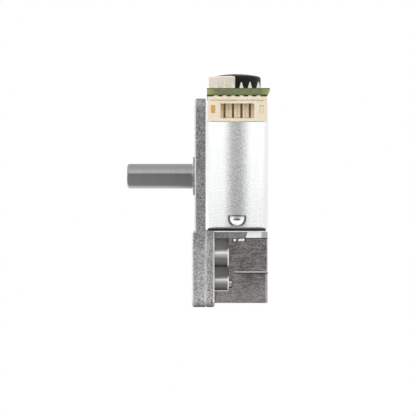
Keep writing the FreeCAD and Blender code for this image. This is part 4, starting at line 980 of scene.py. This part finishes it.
hall_y = halls_high.y + HALL_PAST
for pin_x, lane_x, hall_x, inward in (
        (pin_places[1], left_lane, halls_low.x + HALL_END, 1),
        (pin_places[4], right_lane, halls_high.x - HALL_END, -1)):
    track([(pin_x, pad_edge), (pin_x, second_bend), (lane_x, lane_start),
           (lane_x, halls_high.y - HALL_APPROACH), (hall_x - inward * HALL_TURN, hall_y), (hall_x, hall_y)],
          TRACK_WIDTH, board_high.z, TRACK_RISE)
for pin_x, shift in ((pin_places[2], -SIGNAL_SHIFT), (pin_places[3], SIGNAL_SHIFT)):
    track([(pin_x, pad_edge), (pin_x, first_bend), (pin_x + shift, first_bend + SIGNAL_SHIFT),
           (pin_x + shift, terminals_low.y - SIGNAL_SHORT)], TRACK_WIDTH, board_high.z, TRACK_RISE)
for pin_x, lane_x, end_x, end_y in (
        (pin_places[0], left_power, terminals_low.x - POWER_GAP, terminals_low.y),
        (pin_places[5], right_power, terminals_high.x + POWER_GAP, terminals_high.y)):
    track([(pin_x, pad_edge), (pin_x, pin_y + POWER_BENDS[0]), (lane_x, pin_y + POWER_BENDS[1]),
           (lane_x, end_y - POWER_APPROACH), (end_x, end_y)], POWER_WIDTH, board_low.z, -TRACK_RISE)
track_tone = moulded("track_tone", (72, 128, 54), (84, 142, 62), rough=(0.36, 0.26),
                     relief=0.003 * MM, Coat_Weight=0.3, Coat_Roughness=0.2)
piece("board_tracks", track_form, track_tone, "board_green")

via_form = bmesh.new()
via_places = [(left_lane + 1.3 * MM, -11.0 * MM), (right_lane - 0.9 * MM, -9.6 * MM),
              (right_lane - 0.4 * MM, -6.2 * MM), (right_lane - 0.7 * MM, 5.6 * MM),
              (chips_high.x + 1.4 * MM, 8.7 * MM), (left_lane + 0.9 * MM, 5.3 * MM)]
outer = circle(RING_OUTER, RING_SIDES)
inner = circle(RING_INNER, RING_SIDES)
for via_x, via_y in via_places:
    for face, rise in ((board_high.z, TRACK_RISE), (board_low.z, -TRACK_RISE)):
        ring_levels = [(outer, 0), (outer, rise), (inner, rise), (inner, RING_DISH * rise)]
        ring_loft(via_form, [[(via_x + x, via_y + y, face + up) for x, y in ring]
                             for ring, up in ring_levels])
piece("board_vias", via_form, tinned, "tinned_metal")


# Sensors and chips: two hall sensors in three-legged packages behind the disc, and two chip resistors.
# The packages are moulded in two halves with a draft, and the legs are tinned and bent to the board.
HALL_LENGTH = 2.9 * MM
HALL_DRAFT = 0.1 * MM
HALL_ROUND = 0.12 * MM
SHOULDER_DRAFT = 0.9
TOP_DRAFT = 1.6
LEG_WIDTH = 0.4 * MM
LEG_THICKNESS = 0.12 * MM
LEG_BEND = 0.16 * MM
LEG_KNEE = 0.24 * MM
LEG_REACH = 0.55 * MM
LEG_SPREAD = 0.95 * MM
CHIP_LENGTH = 1.6 * MM
CHIP_END = 0.32 * MM
CHIP_STEP = Vector((CHIP_END / 2, 0.03 * MM, 0.03 * MM))
CHIP_DRAFT = 0.02 * MM
CHIP_ROUND = 0.05 * MM
END_DRAFT = 0.03 * MM
END_ROUND = 0.06 * MM


def moulded_block(form, low, high, draft, round_by):
    """A package moulded in two halves, widest at its middle, with a flat top."""
    middle = (low.z + high.z) / 2
    levels = ((low.z, draft), (middle, 0),
              (high.z - draft / 2, draft * SHOULDER_DRAFT), (high.z, draft * TOP_DRAFT))
    rings = []
    for level, inset in levels:
        outline = rounded_outline((low.x + inset, low.y + inset), (high.x - inset, high.y - inset), round_by)
        rings.append([(x, y, level) for x, y in outline])
    ring_loft(form, rings)


hall_form = bmesh.new()
leg_form = bmesh.new()
leg_section = [(across * LEG_THICKNESS / 2, along * LEG_WIDTH / 2)
               for across, along in ((-1, -1), (1, -1), (1, 1), (-1, 1))]
foot = halls_low.z + LEG_THICKNESS / 2
shoulder = (halls_low.z + halls_high.z) / 2
for hall_x in row_places("hall_sensors", HALL_LENGTH, 2):
    moulded_block(hall_form, Vector((hall_x - HALL_LENGTH / 2, halls_low.y, halls_low.z + HALL_DRAFT)),
                  Vector((hall_x + HALL_LENGTH / 2, halls_high.y, halls_high.z)), HALL_DRAFT, HALL_ROUND)
    for leg_x, wall, outward in ((hall_x - LEG_SPREAD, halls_high.y, 1),
                                 (hall_x + LEG_SPREAD, halls_high.y, 1), (hall_x, halls_low.y, -1)):
        leg_path = [(leg_x, wall + outward * out, level) for out, level in (
            (-HALL_DRAFT, shoulder), (LEG_BEND, shoulder), (LEG_KNEE, foot), (LEG_REACH, foot))]
        run_along(leg_form, leg_path, SIDEWAYS, leg_section)
piece("hall_packages", hall_form, black_plastic, "black_plastic", "hall_sensors")

chip_form = bmesh.new()
for chip_x in row_places("board_chips", CHIP_LENGTH, 2):
    chip_low = Vector((chip_x - CHIP_LENGTH / 2, chips_low.y, chips_low.z))
    chip_high = Vector((chip_x + CHIP_LENGTH / 2, chips_high.y, chips_high.z))
    moulded_block(chip_form, chip_low + Vector((CHIP_STEP.x, CHIP_STEP.y, 0)), chip_high - CHIP_STEP,
                  CHIP_DRAFT, CHIP_ROUND)
    for end_x in (chip_low.x, chip_high.x - CHIP_END):
        moulded_block(leg_form, Vector((end_x, chips_low.y, chips_low.z)),
                      Vector((end_x + CHIP_END, chips_high.y, chips_high.z)), END_DRAFT, END_ROUND)
piece("chip_resistors", chip_form, black_plastic, "black_plastic", "board_chips")
piece("sensor_legs", leg_form, tinned, "tinned_metal")


# Sensor carrier and encoder magnet: the carrier is moulded in a pinkish cream plastic and stands on the
# board. The magnet disc is a black plastic-bonded magnet, polished, on the end of the motor's shaft.
moulded("carrier_cream", (226, 214, 203), (238, 228, 219),
        nodes=["sensor_carrier"], Subsurface_Weight=0.1, Subsurface_Scale=0.5 * MM)
moulded("disc_black", (30, 30, 30), (40, 40, 40), rough=(0.4, 0.32), relief=0.003 * MM,
        nodes=["encoder_magnet"], Specular_IOR_Level=0.08)


# Studio: a pale floor under the part and soft white light all around, brightest above the camera.
# The light is dimmer straight ahead and behind, so that the can keeps a grey band down its middle. The
# plate, shaft, bush, guard, output gear and header don't show in mirrors, so that the can stays white.
FLOOR_SIZE = 3.0
FLOOR_GAP = 0.02 * MM
FLOOR_FRONT = (-45 * MM, -15 * MM)
FLOOR_LIGHT = 0.7
FLOOR_TONES = (0.2, 0.72)
FLOOR_SIDES = (0.25, 0.6)
SIDE_SHARE = 0.35
SHAFT_CARD = 4 * MM
WHITE = (1, 1, 1, 1)
FRONT_LIGHT = 0.63
FRONT_CONE = (0.85, 0.985)
SIDE_LIGHT = 1.26
EDGE_LIGHT = 0.85
EDGE_BAND = (0.0, 0.2)
ABOVE_LIGHT = 1.75
ABOVE_BAND = (0.3, 0.55)
TOP_LIGHT = 1.2
TOP_BAND = (0.75, 0.95)
BACK_LIGHT = 1.1
BACK_CONE = (-0.985, -0.85)
BACK_BAND = (-0.5, 0.0)
for hidden_name in ("front_casting", "guard_plate", "output_gear", "output_shaft", "output_bush",
                    "connector_housing", "connector_pins"):
    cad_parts[hidden_name].visible_glossy = False
contact_ribs.visible_glossy = False

floor_form = bmesh.new()
bmesh.ops.create_grid(floor_form, x_segments=1, y_segments=1, size=FLOOR_SIZE / 2,
                      matrix=Matrix.Translation((0, 0, cad_box[0][2] - FLOOR_GAP)))
floor_white = new_material("floor_white", Roughness=0.9, Emission_Color=WHITE)
floor_tree = floor_white.node_tree
floor_shader = floor_tree.nodes["Principled BSDF"]
floor_place = place_of(floor_tree)
floor_back = grow(floor_tree, floor_place["Y"], *FLOOR_FRONT)
slant = work(floor_tree, "ABSOLUTE", work(floor_tree, "DIVIDE", floor_place["X"], floor_place["Y"]))
floor_pale = work(floor_tree, "MAXIMUM", floor_back, spread(floor_tree, slant, 0.0, SIDE_SHARE, *FLOOR_SIDES))
floor_tree.links.new(spread(floor_tree, floor_pale, *FLOOR_TONES), floor_shader.inputs["Base Color"])
under_shaft = spread(floor_tree, floor_place["X"], FLOOR_LIGHT, 0.0, plate_low.x - SHAFT_CARD, plate_low.x)
floor_tree.links.new(both(floor_tree, floor_back, under_shaft), floor_shader.inputs["Emission Strength"])
floor_glow = put(floor_tree, "Emission", {"Color": WHITE, "Strength": 1.0})
floor_mix = put(floor_tree, "MixShader", {0: put(floor_tree, "LightPath", {}).outputs["Is Camera Ray"],
                                          1: floor_shader.outputs["BSDF"], 2: floor_glow.outputs["Emission"]})
floor_tree.links.new(floor_mix.outputs["Shader"], floor_tree.nodes["Material Output"].inputs["Surface"])
floor = new_object("floor", floor_form, floor_white)

world = bpy.data.worlds.new("studio")
scene.world = world
world.use_nodes = True
studio = world.node_tree
sky = studio.nodes["Background"]
toward = parts_of(studio, put(studio, "TexCoord", {}).outputs["Generated"])
ahead = work(studio, "MULTIPLY", toward["Y"], -1.0)
glow = spread(studio, grow(studio, ahead, *FRONT_CONE), SIDE_LIGHT, FRONT_LIGHT)
glow = spread(studio, fade(studio, ahead, *EDGE_BAND), glow, EDGE_LIGHT)
glow = spread(studio, grow(studio, toward["Z"], *ABOVE_BAND), glow, ABOVE_LIGHT)
glow = spread(studio, grow(studio, toward["Z"], *TOP_BAND), glow, TOP_LIGHT)
back_light = spread(studio, fade(studio, ahead, *BACK_CONE), BACK_LIGHT, FRONT_LIGHT)
glow = spread(studio, fade(studio, ahead, *BACK_BAND), glow, back_light)
seen = put(studio, "LightPath", {}).outputs["Is Camera Ray"]
studio.links.new(spread(studio, seen, glow, 1.0), sky.inputs["Strength"])
sky.inputs["Color"].default_value = WHITE
scene.view_settings.view_transform = "Standard"


# Camera: level and square to the connector's side, with the frame's middle near the plate's back.
# The lens follows from the camera's distance and from how wide the view is at the motor's axis.
CAMERA_DISTANCE = 460 * MM
VIEW_WIDTH = 101.1 * MM
VIEW_CENTRE = (3.146 * MM, -7.727 * MM)
SENSOR = 36.0
camera_data = bpy.data.cameras.new("camera")
camera_data.sensor_fit = "HORIZONTAL"
camera_data.sensor_width = SENSOR
camera_data.lens = SENSOR * CAMERA_DISTANCE / VIEW_WIDTH
camera = bpy.data.objects.new("camera", camera_data)
camera.location = (VIEW_CENTRE[0], -CAMERA_DISTANCE, VIEW_CENTRE[1])
camera.rotation_euler = (math.radians(90), 0, 0)
scene.collection.objects.link(camera)
scene.camera = camera
